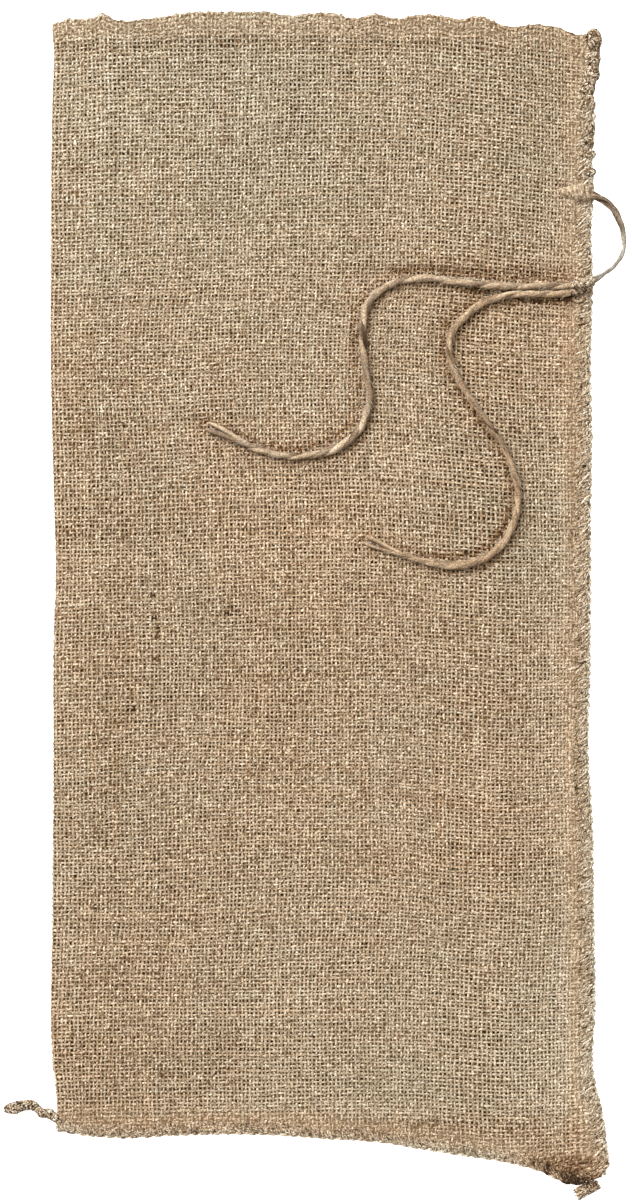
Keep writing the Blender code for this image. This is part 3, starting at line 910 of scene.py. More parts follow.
@dataclass(frozen=True)
class WearAndShade:
    """How the jute is bleached, browned and worn from place to place, and where shade is painted into it: in
    the seam grooves, beside the tie and at the bottom corner.
    """

    patches: tuple[Patch, ...] = (*PATCHES, *(Patch(*place, *FLECK) for place in FLECKS))
    tone_scale: float = 0.08
    warmth_scale: float = 0.22
    tie_reach: float = 9.0
    tie_tone: float = -0.07
    tie_warmth: float = 2.2
    tie_on_cloth: int = 13
    crease_width: float = 1.5
    far: float = 99.0

    def total(self, part: str, x: Array, y: Array) -> Array:
        """Adds up one of the patches' numbers at places on the cloth."""
        return sum(patch.weight(x, y) * getattr(patch, part) for patch in self.patches)

    def beside_tie(self, x: Array, y: Array) -> Array:
        """Gives the painted shade beside the tie's legs, as a tone: dark lines along both sides and a wide
        soft darkening.
        """
        painted_shade = 0.0
        for rows, creases in ((TIE_LONG, LONG_CREASES), (TIE_SHORT, SHORT_CREASES)):
            across, at, way = np.full(np.shape(x), self.far), np.zeros(np.shape(x)), 0.0
            for number, (start, end) in enumerate(zip(rows, rows[1:])):
                span = np.array([end.x - start.x, end.y - start.y])
                long = np.hypot(*span)
                share = np.clip(((x - start.x) * span[0] + (y - start.y) * span[1]) / long**2, 0.0, 1.0)
                aside_x, aside_y = x - start.x - share * span[0], y - start.y - share * span[1]
                away = np.hypot(aside_x, aside_y)
                nearer = (away < np.abs(across)) & (number >= self.tie_on_cloth)
                across = np.where(nearer, np.copysign(away, aside_x * span[1] - aside_y * span[0]), across)
                at = np.where(nearer, way + share * long, at)
                way += long
            places = [crease.way for crease in creases]
            for part, deep in (("left", "left_tone"), ("right", "right_tone")):
                line = np.interp(at, places, [getattr(crease, part) for crease in creases])
                tone = np.interp(at, places, [getattr(crease, deep) for crease in creases])
                painted_shade = painted_shade + tone * np.exp(-(((across - line) / self.crease_width) ** 2))
            # painted shade: a wide soft darkening along the leg
            painted_shade = painted_shade + self.tie_tone * np.exp(-((across / self.tie_reach) ** 2))
        return painted_shade

    def tone(self, x: Array, y: Array) -> Array:
        """Gives what the wear and the painted shade add to the tone."""
        return self.tone_scale * self.total("tone", x, y) + self.beside_tie(x, y)

    def warmth(self, x: Array, y: Array) -> Array:
        """Gives what the wear and the painted shade add to the warmth; the shade beside the tie is browner.
        """
        return self.warmth_scale * self.total("warmth", x, y) - self.tie_warmth * self.beside_tie(x, y)


@dataclass
class Weave:
    """The sack's cloth: jute yarns over a ground, in one piece round the fold."""

    form: SackForm
    wear_and_shade: WearAndShade
    seed: int = 11
    end_pitch: Edge = Edge((
        (-180, 2.56), (-125, 2.56), (-60, 2.49), (7, 2.56), (68, 2.54), (88, 2.97), (108, 2.87), (130, 2.5),
        (150, 2.33), (200, 2.3),
    ))
    pick_pitch: Edge = Edge((
        (-381, 2.56), (-277, 2.6), (-225, 2.54), (-199, 2.64), (-160, 2.55), (-122, 2.45), (-60, 2.68),
        (0, 2.56), (34, 2.65), (60, 2.93), (86, 2.66), (112, 2.75), (138, 2.58), (241, 2.61), (267, 2.69),
        (320, 2.62), (420, 2.55),
    ))
    yarn_width: float = 1.44
    edge_drop: float = 0.30
    ground_depth: float = 1.15
    ground_rise: float = 0.3
    ground_wall: float = 0.3
    weld: float = 0.03
    band_recess: float = 0.15
    inner_pitch: float = 2.6
    cut_off: float = 1.3
    rim: float = 0.7
    turned_under: float = 17.0
    past_mouth: float = 0.5
    clear_of_fold: float = 9.0
    clear_of_seam: float = 12.0
    hem_closed: float = 0.14
    ragged: float = 0.14
    bedded: float = 0.12
    back_top: float = -0.04
    beyond: Pair = (6.0, 30.0)
    sway: Triple = (0.6, 12.0, 12.0)
    end_wander: tuple[Triple, ...] = ((0.19, 0.5, 1.2), (0.09, 0.6, 7.0))
    pick_wander: tuple[Triple, ...] = ((0.19, 1.2, 0.5), (0.12, 8.0, 0.6))
    end_slubs: Pair = (0.5, 5.0)
    pick_slubs: Pair = (6.0, 0.5)
    slubs_from: float = 1.9
    most_slub: float = 1.4
    slub_width: float = 0.22
    spun_width: float = 0.04
    width_limits: Pair = (0.6, 1.6)
    bands: tuple[Triple, ...] = ((0.045, 50.0, 2.2), (0.02, 2.0, 50.0))
    patches: tuple[Triple, ...] = ((0.03, 22.0, 16.0), (0.015, 5.0, 4.0))
    end_streaks: Pair = (0.4, 14.0)
    pick_streaks: Pair = (14.0, 0.4)
    streak_tone: float = 0.09
    warm_patches: Triple = (0.4, 14.0, 14.0)
    warm_ends: Triple = (0.6, 0.4, 9.0)
    warm_picks: Triple = (0.6, 9.0, 0.4)
    lift_spread: float = 0.07
    width_spread: float = 0.10
    tone_spread: float = 0.055
    middle_tone: float = 0.59
    tone_depth: float = 0.20
    middle_warmth: float = 0.55
    warmth_depth: float = 0.22
    end_shade: float = 0.20
    side_shade: float = 0.17
    speckle: float = 0.24
    shift: float = 7.31
    near_fold: tuple[float, ...] = (0.0, 0.002, 0.004, 0.006, 0.0085, 0.0115)
    sheet_across: tuple[float, float, int] = (0.02, 0.985, 42)
    near_seam: tuple[float, ...] = (0.9925, 0.9965, 0.999, 1.0)
    near_base: tuple[float, ...] = (0.0, 0.0006, 0.0016, 0.0035, 0.008)
    sheet_along: tuple[float, int] = (0.015, 88)
    pieces: list[bpy.types.Object] = field(default_factory=list)

    def __post_init__(self) -> None:
        """Lays out the crossings of the ends and the picks."""
        rng = np.random.default_rng(self.seed)
        form = self.form
        first = form.woven_from[0] - form.fold_arc + form.edge_round
        ends = self.threads(self.end_pitch, first, form.woven_to[0] + self.beyond[0]) - first
        lowest, top = form.woven_from[1], form.woven_to[1] + self.beyond[1]
        picks = self.threads(self.pick_pitch, lowest, top) - lowest
        across = np.concatenate([-ends[::-1], ends])
        self.columns = np.arange(len(across)) - len(ends)
        self.rows = np.arange(len(picks))
        shape = (len(self.columns), len(self.rows))
        end_wander = self.blurred(rng, shape, *self.end_wander)
        pick_wander = self.blurred(rng, shape, *self.pick_wander)
        self.across = across[:, None] + (end_wander + self.blurred(rng, shape, self.sway))
        self.along = picks[None, :] + (pick_wander + self.blurred(rng, shape, self.sway))
        x, y = form.thread_plan(np.abs(self.across), self.along)
        self.open_by = 1.0 - self.wear_and_shade.total("opened", x, y) * (self.columns >= 0)[:, None]
        self.width = {
            Run.ENDS: self.widths(rng, shape, self.end_slubs),
            Run.PICKS: self.widths(rng, shape, self.pick_slubs),
        }
        bands = self.blurred(rng, shape, *self.bands)
        patches = self.blurred(rng, shape, *self.patches)
        self.tone = {
            Run.ENDS: bands + patches + self.yarn_tone(rng, shape, self.end_streaks),
            Run.PICKS: bands + patches + self.yarn_tone(rng, shape, self.pick_streaks),
        }
        warm = self.blurred(rng, shape, self.warm_patches)
        self.warmth = {
            Run.ENDS: warm + self.blurred(rng, shape, self.warm_ends),
            Run.PICKS: warm + self.blurred(rng, shape, self.warm_picks),
        }
        self.lift = rng.standard_normal(shape) * self.lift_spread

    @staticmethod
    def threads(pitch: Edge, start: float, end: float, step: float = 0.25) -> Array:
        """Sets threads side by side from start to end, as far apart as the pitch says at each place."""
        fine = np.arange(start, end, step)
        count = np.cumsum(step / pitch.at(fine))
        return np.interp(np.arange(int(count[-1])) + 0.5, count, fine)

    @staticmethod
    def blurred(rng: Rng, shape: tuple[int, int], *layers: Triple) -> Array:
        """Adds up soft noises, each given by its strength and how far it spreads along either axis."""
        return sum(strength * soft_noise(rng, shape, spread) for strength, *spread in layers)

    def widths(self, rng: Rng, shape: tuple[int, int], run: Pair) -> Array:
        """Gives each crossing the width of one of its yarns, with thick and thin places."""
        spun = soft_noise(rng, shape, run)
        slubs = np.clip(soft_noise(rng, shape, run) - self.slubs_from, 0.0, self.most_slub) * self.slub_width
        uneven = rng.standard_normal(shape) * self.width_spread
        thick = np.clip(1.0 + self.spun_width * spun + slubs + uneven, *self.width_limits)
        return self.yarn_width * self.open_by * thick

    def yarn_tone(self, rng: Rng, shape: tuple[int, int], run: Pair) -> Array:
        """Gives each crossing the tone of one of its yarns."""
        return soft_noise(rng, shape, run) * self.streak_tone + rng.standard_normal(shape) * self.tone_spread

    def between(self, values: Array, k: Array, j: Array, run: Run, share: Array) -> Array:
        """Reads a value on the way from a crossing to the next along a yarn.

        Args:
            values: A value for each crossing.
            k: The crossings' columns.
            j: Their rows.
            run: Which way the yarn runs.
            share: Shares of the way, below 0 for the way back.

        Returns:
            Crossings by shares.
        """
        step = np.sign(share).astype(int)
        k, j = k[:, None], j[:, None]
        after = values[k + step, j] if run is Run.PICKS else values[k, j + step]
        return values[k, j] + (after - values[k, j]) * np.abs(share)

    def humps(self, name: str, run: Run, chosen: Array, cut: HumpCut, material: Material) -> None:
        """Builds the yarn that shows on the face at some of the crossings.

        Args:
            name: The piece's name.
            run: Which way the yarn runs.
            chosen: True at the crossings wanted.
            cut: How a hump is cut into points.
            material: The yarn's finish.
        """
        form = self.form
        over = (self.columns[:, None] + self.rows[None, :]) % 2 == (0 if run is Run.ENDS else 1)
        inner = np.zeros_like(over)
        inner[1:-1, 1:-1] = True
        k, j = np.nonzero(over & inner & chosen)
        x, y = form.thread_plan(np.abs(self.across[k, j]), self.along[k, j])
        fold, seam, base, mouth = form.insets(x, y)
        turned_in = (mouth < self.past_mouth) & ((fold < self.clear_of_fold) | (seam < self.clear_of_seam))
        kept = ~turned_in & (seam > self.cut_off) & (base > self.cut_off) & (mouth > -self.turned_under)
        k, j, x, y = k[kept], j[kept], x[kept], y[kept]
        stations, heights, widths, sides, falls = map(np.array, cut)
        across = self.between(self.across, k, j, run, stations)
        along = self.between(self.along, k, j, run, stations)
        hem = 1.0 - ease((mouth[kept] - form.hem_depth + 1.0) / form.hem_step)
        half = (self.width[run][k, j] * (1.0 + self.hem_closed * hem))[:, None] / 2 * widths
        spread = half[:, :, None] * sides
        flat = np.zeros_like(spread)
        aside, ahead = (spread, flat) if run is Run.ENDS else (flat, spread)
        across, along = across[:, :, None] + aside, along[:, :, None] + ahead
        height = (
            heights[:, None]
            - self.edge_drop * falls
            + (self.lift[k, j] - self.bedded)[:, None, None]
            - self.band_recess * form.band(x, y)[:, None, None]
        )
        height = np.where((across < 0.0) & (height > self.back_top), self.back_top, height)
        rng = np.random.default_rng([self.seed, len(self.pieces)])
        across = across + rng.standard_normal(across.shape) * self.ragged
        along = along + rng.standard_normal(across.shape) * self.ragged
        seen_x, seen_y = form.thread_plan(np.abs(across), along)
        seen_x = np.minimum(seen_x, form.seam.at(seen_y) - self.rim)
        seen_y = np.maximum(seen_y, form.base.at(seen_x) + self.rim)
        points = form.place(seen_x, seen_y, np.where(across < 0.0, -1.0, 1.0), height)
        piece = Piece(name, points.reshape(-1, 3), strips(*points.shape[:3]))
        tone = self.middle_tone + self.tone_depth * self.tone[run][k, j] + self.wear_and_shade.tone(x, y)
        # painted shade: darker where a hump dips under the crossing yarn and down its sides
        tone = tone[:, None, None] + (self.end_shade * heights[:, None] - self.side_shade * falls)
        speckle = rng.standard_normal(tone.shape)
        tone += self.speckle * (speckle - speckle.mean(axis=(1, 2), keepdims=True))
        tint = self.middle_warmth + self.warmth_depth * self.warmth[run][k, j] + self.wear_and_shade.warmth(x, y)
        way = along if run is Run.ENDS else np.abs(across)
        number = (k if run is Run.ENDS else j)[:, None, None]
        places = np.stack([spread, way + number * self.shift], axis=-1)
        piece.as_yarn(tone, tint[:, None, None] + flat, places, Slot.CLOTH, material)
        lengthwise, sideways = stations[:, None] + flat, 0.46 * sides + flat
        steps = (sideways, lengthwise) if run is Run.ENDS else (lengthwise, sideways)
        cells = [
            ((at - at.min() + 1.0)[:, None, None] + step) / (np.ptp(at) + 2)
            for at, step in zip((k, j), steps)
        ]
        piece.map("OFBake", np.stack(cells, axis=-1).reshape(-1, 2))
        self.pieces.append(piece.object)

    def ground(self, beneath: Material, inside: Material) -> bpy.types.Object:
        """Builds the thin closed sheet under the yarns.

        Args:
            beneath: The finish of its outer face, which shows in the holes as painted shade.
            inside: The finish of its inner face, which shows at the mouth.

        Returns:
            The sheet.
        """
        form = self.form
        shares = np.concatenate([self.near_fold, np.linspace(*self.sheet_across), self.near_seam])
        across = np.concatenate([-shares[:0:-1], shares])[:-1]
        top = 1.0 - (form.hem_turn + 0.1) / form.length
        first, rows = self.sheet_along
        along = np.concatenate([self.near_base, np.linspace(first, top, rows)])
        across, along = np.meshgrid(across, along)
        x, y = form.plan(np.abs(across), along)
        _, seam, base, mouth = form.insets(x, y)
        double = 1.0 - ease((np.minimum.reduce([seam, base, mouth + 1.5]) - form.hem_depth + 2.0) / 3.0)
        side = np.where(across < 0.0, -1.0, 1.0)
        points = form.place(x, y, side, self.ground_rise * double - self.ground_depth).reshape(-1, 3)
        faces = strips(1, *across.shape, closed=True)
        cells = np.round(points / self.weld).astype(int)
        _, first, same = np.unique(cells, axis=0, return_index=True, return_inverse=True)
        sheet = Piece("sack_sheet", points[first], same.ravel()[faces])
        sheet.value("double", double.ravel()[first])
        weave = np.stack([np.abs(across) * form.width, along * form.length], axis=-1) / self.inner_pitch
        sheet.map("Weave", weave.reshape(-1, 2)[first])
        wall = sheet.object.modifiers.new("Wall", "SOLIDIFY")
        wall.thickness = self.ground_wall * MM
        wall.offset = -1.0
        wall.material_offset = 1
        wall.material_offset_rim = 1
        sheet.dress(Slot.CLOTH, beneath, inside)
        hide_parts("sack_cloth")
        return sheet.object

    def build(self, yarn: Material) -> None:
        """Builds the cloth's pieces."""
        sheet = self.ground(HoleShadeGround().material(), InnerWeave().material())
        front = (self.columns >= 0)[:, None]
        upper = (self.rows >= len(self.rows) // 2)[None, :]
        for run in Run:
            for name, chosen, cut in (
                ("front_upper", front & upper, FRONT_HUMP),
                ("front_lower", front & ~upper, FRONT_HUMP),
                ("back_upper", ~front & upper, BACK_HUMP),
                ("back_lower", ~front & ~upper, BACK_HUMP),
            ):
                self.humps(f"{name}_{run.value}", run, chosen, cut, yarn)


# ---------------------------------------------------------------- the sewing


class StitchPoint(NamedTuple):
    """One control point of a stitch: how far in from the edge, how far along it, and how high.

    share is that of the front's height, and lift is in millimetres over that.
    """

    inset: float
    shift: float
    share: float
    lift: float


WRAP = rows_of(
    StitchPoint,
    (10.6, -1.6, 1, -1.5), (8.6, -0.2, 1, -0.7), (5.6, 1.6, 1, -0.4), (2.4, 3.8, 1, -0.2),
    (0.5, 5.2, 0.88, -0.3), (-0.3, 5.8, 0.5, 0), (0.8, 6.4, 0, 1), (5, 8, 0, 0.9), (9.8, 10, 0, 0.9),
)


class Knob(NamedTuple):
    """A knob of the rolled corner: its middle and its half sizes."""

    x: float
    y: float
    across: float
    along: float


@dataclass
class EdgeLine:
    """A sewn edge, read by how far along it a place is."""

    form: SackForm
    along_side: bool
    start: float
    end: float
    reach: float = 1.0
    slant: float = 1.0
    thick: float = 1.0
    bundle: float = 6.6
    tone_spread: float = 0.22
    # painted light: how much lighter and greyer the yarn is toward the sewn edge
    edge_light: float = 0.20
    bulge: float = 0.6

    def at(self, along: Array, inset: Array) -> tuple[Array, Array]:
        """Finds x and y of places at an inset from the edge."""
        if self.along_side:
            return self.form.seam.at(along) - inset, along
        return along, self.form.base.at(along) + inset


@dataclass(frozen=True)
class Matting:
    """Short bits of yarn that lie every way over a round form."""

    length: float = 2.6
    yarn: float = 0.42
    points: int = 4
    cover: float = 4.2
    reach: Pair = (0.6, 1.2)
    rim: Pair = (0.24, 0.22)
    tone_spread: float = 0.30
    along_spread: float = 0.22
    across: Triple = (0.31, 0.22, 0.93)

    def over(self, middles: Array, sizes: Array, ways: Array, rng: Rng) -> Array:
        """Lays one bit over each place.

        Args:
            middles: The middle of the round form under each bit.
            sizes: That form's half sizes.
            ways: The direction from its middle to the bit.
            rng: Where the bits' own directions come from.

        Returns:
            Paths.
        """
        aside = unit(np.cross(ways, rng.standard_normal(ways.shape)))
        reach = self.length / sizes.mean(axis=1)[:, None, None] * rng.uniform(*self.reach, (len(ways), 1, 1))
        around = unit(ways[:, None] + aside[:, None] * reach * np.linspace(-0.5, 0.5, self.points)[:, None])
        return middles[:, None] + around * sizes[:, None]


@dataclass
class Overcast:
    """The jute yarn that overcasts the side and bottom seams, and mats their corners and tails."""

    form: SackForm
    wear_and_shade: WearAndShade
    seed: int = 5
    spacing: float = 3.5
    yarn: float = 0.62
    wrap_points: int = 13
    shifted: float = 0.7
    inset_spread: Pair = (0.14, 0.40)
    shift_spread: Pair = (0.30, 0.60)
    lift_spread: float = 0.15
    bundle_lift: float = 0.12
    girth_spread: Pair = (0.16, 0.22)
    gathered: float = 0.4
    phase_drift: Pair = (1.2, 9.0)
    clear: float = 0.06
    tapered: float = 0.35
    girth_limits: Pair = (0.3, 1.6)
    wrap_tone: float = 0.47
    bundle_tone: float = 0.03
    # painted light: lighter and greyer toward the edge, by the share of the way over a stitch
    edge_light_over: tuple[Pair, ...] = ((0.2, 0.0), (0.36, 0.6), (0.5, 1.0), (0.7, 1.0))
    edge_light_greying: float = 1.2
    grain_band: float = 9.6
    grain_density: float = 0.42
    grain_slant: float = 50.0
    grain_turn: float = 0.5
    grain_lift: Pair = (-0.30, 0.12)
    grain_sag: float = 1.2
    grain_taper: Pair = (1.15, 1.2)
    grain_fade: float = 5.0
    grain_tone: float = 0.51
    grain_spread: float = 0.14
    uneven: Pair = (0.7, 1.3)
    chain: float = 1.0
    chain_step: float = 0.9
    chain_inset: float = 0.15
    chain_wander: float = 0.1
    chain_swing: float = 0.75
    chain_uneven: float = 0.08
    chain_limits: Pair = (0.6, 1.4)
    chain_tone: float = 0.46
    chain_spread: float = 0.2
    scallop: float = 6.6
    knobs: tuple[Knob, ...] = rows_of(
        Knob,
        (171.7, 361.9, 5.6, 7.9), (170.9, 350, 5.6, 5), (170.5, 340, 5.3, 6), (168.2, 330.4, 4.6, 5.2),
        (168.2, 321.6, 4.9, 5.4), (169, 304.6, 3.9, 4.8), (168.9, 296.4, 3.6, 3.8),
        (169.1, 288, 4.2, 3.4), (169.2, 276.6, 4.2, 3.2),
    )
    knob_middle: float = 4.3
    knob_up: float = 2.7
    knob_tone: float = 0.52
    core_shade: float = 0.14
    core_inset: Triple = (0.9, 0.7, 0.5)
    matting: Matting = Matting()
    tail_girth: Edge = Edge((
        (0, 2), (0.13, 2.6), (0.25, 3.1), (0.33, 3), (0.42, 2.4), (0.53, 3.1), (0.67, 3.2), (0.82, 3.8),
        (0.95, 2.6), (1, 1.6),
    ))
    tail_rise: Edge = Edge((
        (0, 0.6), (0.13, 1.2), (0.25, 1.4), (0.33, -0.6), (0.42, 0.4), (0.53, 1.4), (0.67, 0.3), (0.82, -0.6),
        (1, 0.2),
    ))
    tab_girth: Edge = Edge(((0, 2.8), (0.5, 3.5), (1, 3.4)))
    leg_girth: Edge = Edge(((0, 1.7), (0.5, 2.5), (1, 1.8)))
    leg_over: Pair = (156.0, 171.5)
    tail_tones: Pair = (0.44, 0.40)
    leg_tones: Pair = (0.72, 0.60)
    sides: int = 5

    def wraps(self, edge: EdgeLine, rng: Rng) -> tuple[Array, Array, Array]:
        """Lays one uneven stitch after another round an edge.

        Args:
            edge: The edge.
            rng: Where the unevenness comes from.

        Returns:
            Paths, radii along them, and how much of its bundle's middle each stitch has.
        """
        places = np.arange(edge.start, edge.end, self.spacing * edge.thick)
        drift, run = self.phase_drift
        phase = 2 * np.pi * places / edge.bundle + drift * soft_noise(rng, (1, len(places)), (0.0, run))[0]
        places = places - self.gathered * np.sin(phase)
        places = places + rng.uniform(-self.shifted, self.shifted, len(places))
        middle = np.cos(phase)[:, None]
        inset, shift, share, lift = np.array(WRAP, float).T
        radius, one, all_of_one = self.yarn * edge.thick, (len(places), 1), (len(places), len(WRAP))
        inset = inset * edge.reach * (1.0 + self.inset_spread[0] * rng.standard_normal(one))
        inset = inset + self.inset_spread[1] * edge.reach * rng.standard_normal(all_of_one)
        shift = shift * (1.0 + self.shift_spread[0] * rng.standard_normal(one))
        shift = shift + self.shift_spread[1] * rng.standard_normal(all_of_one)
        wave = self.lift_spread * rng.standard_normal(one) + self.bundle_lift * middle
        lift = lift + (share == 1.0) * wave
        x, y = edge.at(places[:, None] + edge.slant * shift, inset)
        z = np.maximum(share * self.form.height(x, y) + lift, radius + self.clear)
        steps = np.arange(self.wrap_points)
        paths = through(np.stack([x, y, z], axis=-1), len(steps))
        own, along = self.girth_spread
        girth = 1.0 + own * rng.standard_normal(one)
        girth = girth + along * rng.standard_normal((len(places), len(steps)))
        radii = radius * np.clip(np.minimum(steps, steps[::-1]), self.tapered, 1.0) * girth
        least, most = self.girth_limits
        return paths, np.clip(radii, least * radius, most * radius), middle

    def grains(self, edge: EdgeLine, rng: Rng) -> tuple[Array, Array, Array]:
        """Strews short bits of yarn over a sewn edge's band.

        Args:
            edge: The edge.
            rng: Where their places come from.

        Returns:
            Paths, radii along them, and how near the edge each bit is.
        """
        depth = self.grain_band * edge.reach
        count = round((edge.end - edge.start) * depth * self.grain_density / edge.thick)
        each = (count, 1)
        along, inset = rng.uniform(edge.start, edge.end, each), rng.uniform(0.5, depth, each)
        turn = np.radians(self.grain_slant) + self.grain_turn * rng.standard_normal(each)
        share = np.linspace(-0.5, 0.5, self.matting.points)
        step = self.matting.length * edge.thick**0.5 * share
        x, y = edge.at(along + step * np.sin(turn), np.maximum(inset - step * np.cos(turn), 0.3))
        z = self.form.height(x, y) + rng.uniform(*self.grain_lift, each) - self.grain_sag * share**2
        radii = self.matting.yarn * edge.thick**0.5 * rng.uniform(*self.uneven, each)
        full, taper = self.grain_taper
        radii = radii * (full - taper * np.abs(share))
        return np.stack([x, y, z], axis=-1), radii, np.clip(1.0 - inset / self.grain_fade, 0.0, 1.0)

    def piece(
        self,
        name: str,
        paths: Array,
        radii: Array,
        across: Array,
        tone: float | Array,
        material: Material,
        spread: float = 0.30,
        pale: float | Array = 0.0,
    ) -> None:
        """Sweeps yarn along paths and dresses it.

        Args:
            name: The piece's name.
            paths: The paths.
            radii: The radii along them.
            across: A direction that no path runs along.
            tone: The yarn's tone, for all of it or for each point of a path.
            material: Its finish.
            spread: How much its tone changes along it.
            pale: How much lighter and greyer than the rest it is: painted light on the sewn edge.
        """
        x, y = paths[..., 0], paths[..., 1]
        rng = np.random.default_rng([self.seed, len(paths), 3])
        tone = tone + pale + self.wear_and_shade.tone(x, y) + spread * soft_noise(rng, paths.shape[:2], (0.0, 0.5))
        warmth = 0.5 - self.edge_light_greying * pale + self.wear_and_shade.warmth(x, y)
        SPIN.sweep(name, Slot.SEAM, material, paths, radii, across, self.sides, self.seed, tone, warmth)

    def sew(self, name: str, edge: EdgeLine, material: Material) -> None:
        """Sews one edge: the wraps, the short bits of yarn over them and the chain on the edge itself.

        Args:
            name: What the pieces' names start with.
            edge: The edge.
            material: The yarn's finish.
        """
        rng = np.random.default_rng([self.seed, int(edge.along_side)])
        ahead = (0.0, 1.0, 0.05) if edge.along_side else (1.0, 0.0, 0.05)
        paths, radii, middle = self.wraps(edge, rng)
        over = np.linspace(0.0, 1.0, self.wrap_points)
        pale = edge.edge_light * np.interp(over, *zip(*self.edge_light_over))
        tone = self.wrap_tone + self.bundle_tone * middle
        self.piece(f"{name}_wraps", paths, radii, ahead, tone, material, edge.tone_spread, pale)
        paths, radii, near = self.grains(edge, rng)
        tone = self.grain_tone + self.grain_spread * rng.standard_normal(near.shape)
        edge_lit = edge.edge_light * near
        self.piece(f"{name}_grains", paths, radii, UP, tone, material, self.grain_spread, edge_lit)
        places = np.arange(edge.start, edge.end, self.chain_step)
        count = len(places)
        wave = 2 * np.pi * np.cumsum(1.0 + 0.5 * rng.standard_normal(count)) * self.chain_step / self.scallop
        out = -self.chain_inset + edge.bulge * np.sin(wave) + self.chain_wander * rng.standard_normal(count)
        x, y = edge.at(places, -out)
        half = self.form.height(*edge.at(places, np.full(count, 3.0))) / 2
        path = np.stack([x, y, half + self.chain_swing * np.cos(wave)], axis=-1)[None]
        uneven = 1.0 + self.chain_uneven * rng.standard_normal((1, count))
        radii = self.chain * np.clip(uneven, *self.chain_limits)
        chain_looks = (self.chain_tone, material, self.chain_spread, edge.edge_light)
        self.piece(f"{name}_chain", path, radii, UP, *chain_looks)

    def mat(
        self, name: str, middles: Array, sizes: Array, ways: Array, tone: float, material: Material
    ) -> None:
        """Mats short bits of yarn over round forms, with a dark rim on the side away from the light.

        Args:
            name: The piece's name.
            middles: The middle of the round form under each bit.
            sizes: That form's half sizes.
            ways: The direction from its middle to the bit.
            tone: The yarn's tone.
            material: Its finish.
        """
        rng = np.random.default_rng([self.seed, 7, len(middles)])
        paths = self.matting.over(middles, sizes, ways, rng)
        radii = self.matting.yarn * rng.uniform(*self.uneven, (len(paths), 1)) * np.ones(paths.shape[:2])
        radii[:, [0, -1]] *= 0.5
        low, right = self.matting.rim
        rim = low * np.clip(1.0 - ways[:, 2:], 0.0, 1.0) ** 2 + right * np.clip(ways[:, :1], 0.0, 1.0) ** 3
        tones = tone - rim + self.matting.tone_spread * rng.standard_normal((len(paths), 1))
        self.piece(name, paths, radii, self.matting.across, tones, material, self.matting.along_spread)

    def roll(self, material: Material) -> None:
        """Rolls the side seam up at the mouth's corner into matted knobs, over dark cores of painted shade.
        """
        rng = np.random.default_rng([self.seed, 8])
        middles, sizes, ways = [], [], []
        for knob in self.knobs:
            count = round(self.matting.cover * knob.across * knob.along)
            way = rng.standard_normal((count, 3))
            way[:, 2] = np.abs(way[:, 2]) - 0.3
            ways.append(unit(way))
            middles.append(np.tile([knob.x, knob.y, self.knob_middle], (count, 1)))
            sizes.append(np.tile([knob.across, knob.along, self.knob_up], (count, 1)) - self.matting.yarn)
        middles, sizes, ways = map(np.concatenate, (middles, sizes, ways))
        self.mat("corner_knobs", middles, sizes, ways, self.knob_tone, material)
        turn, swing = np.linspace(0.06, 0.94, 9) * np.pi, np.arange(12) * np.pi / 6
        ball = np.empty((len(turn), len(swing), 3))
        ball[..., 0] = np.outer(np.sin(turn), np.cos(swing))
        ball[..., 1] = -np.cos(turn)[:, None]
        ball[..., 2] = np.outer(np.sin(turn), np.sin(swing))
        # dark cores inside the knobs: painted shade that shows between the matted bits
        cores = np.stack([
            ball * np.subtract((knob.across, knob.along, self.knob_up), self.core_inset)
            + (knob.x, knob.y, self.knob_middle)
            for knob in self.knobs
        ])
        points = cores.reshape(-1, 3)
        core = Piece("corner_shade_cores", points, strips(*cores.shape[:3], closed=True))
        each = np.ones(len(points))
        core.as_yarn(self.core_shade * each, 0.5 * each, points[:, :2], Slot.SEAM, material)

    def mat_cord(
        self, name: str, line: Array, girth: Edge, rise: Edge | None, tone: float, material: Material
    ) -> None:
        """Mats short bits of yarn over a cord.

        Args:
            name: The piece's name.
            line: The cord's centre line.
            girth: How far from it the bits lie, by the share of the way along it.
            rise: How far aside of it they lie, to the right of its way, if they do.
            tone: The yarn's tone.
            material: Its finish.
        """
        rng = np.random.default_rng([self.seed, 9, len(line)])
        count = round(self.matting.cover * 2.6 * len(line) * float(girth.at(0.5)) / 2.5)
        share = rng.uniform(0.0, 1.0, count)
        order = np.arange(len(line))
        spot = share * (len(line) - 1)
        middles = np.stack([np.interp(spot, order, line[:, i]) for i in range(3)], axis=-1)
        ahead = unit(np.stack([np.interp(spot, order, np.gradient(line[:, i])) for i in range(3)], axis=-1))
        side = np.cross(ahead, UP)
        around = rng.uniform(-0.5, np.pi + 0.5, count)[:, None]
        ways = side * np.cos(around) + UP * np.sin(around)
        if rise is not None:
            middles += side * rise.at(share)[:, None]
        self.mat(name, middles, np.tile(girth.at(share)[:, None], (1, 3)), ways, tone, material)

    def mat_tails(self, left: Array, right: Array, material: Material) -> None:
        """Mats the chain's two tails, from inside the cloth's corners on."""
        corner = left[0] + (left[0] - left[1]) * np.linspace(5.0, 1.0, 5)[:, None]
        left = np.concatenate([corner, left])
        left_tone, right_tone = self.tail_tones
        self.mat_cord("left_tail_matting", left, self.tail_girth, self.tail_rise, left_tone, material)
        self.mat_cord("right_tail_matting", right, self.tab_girth, None, right_tone, material)

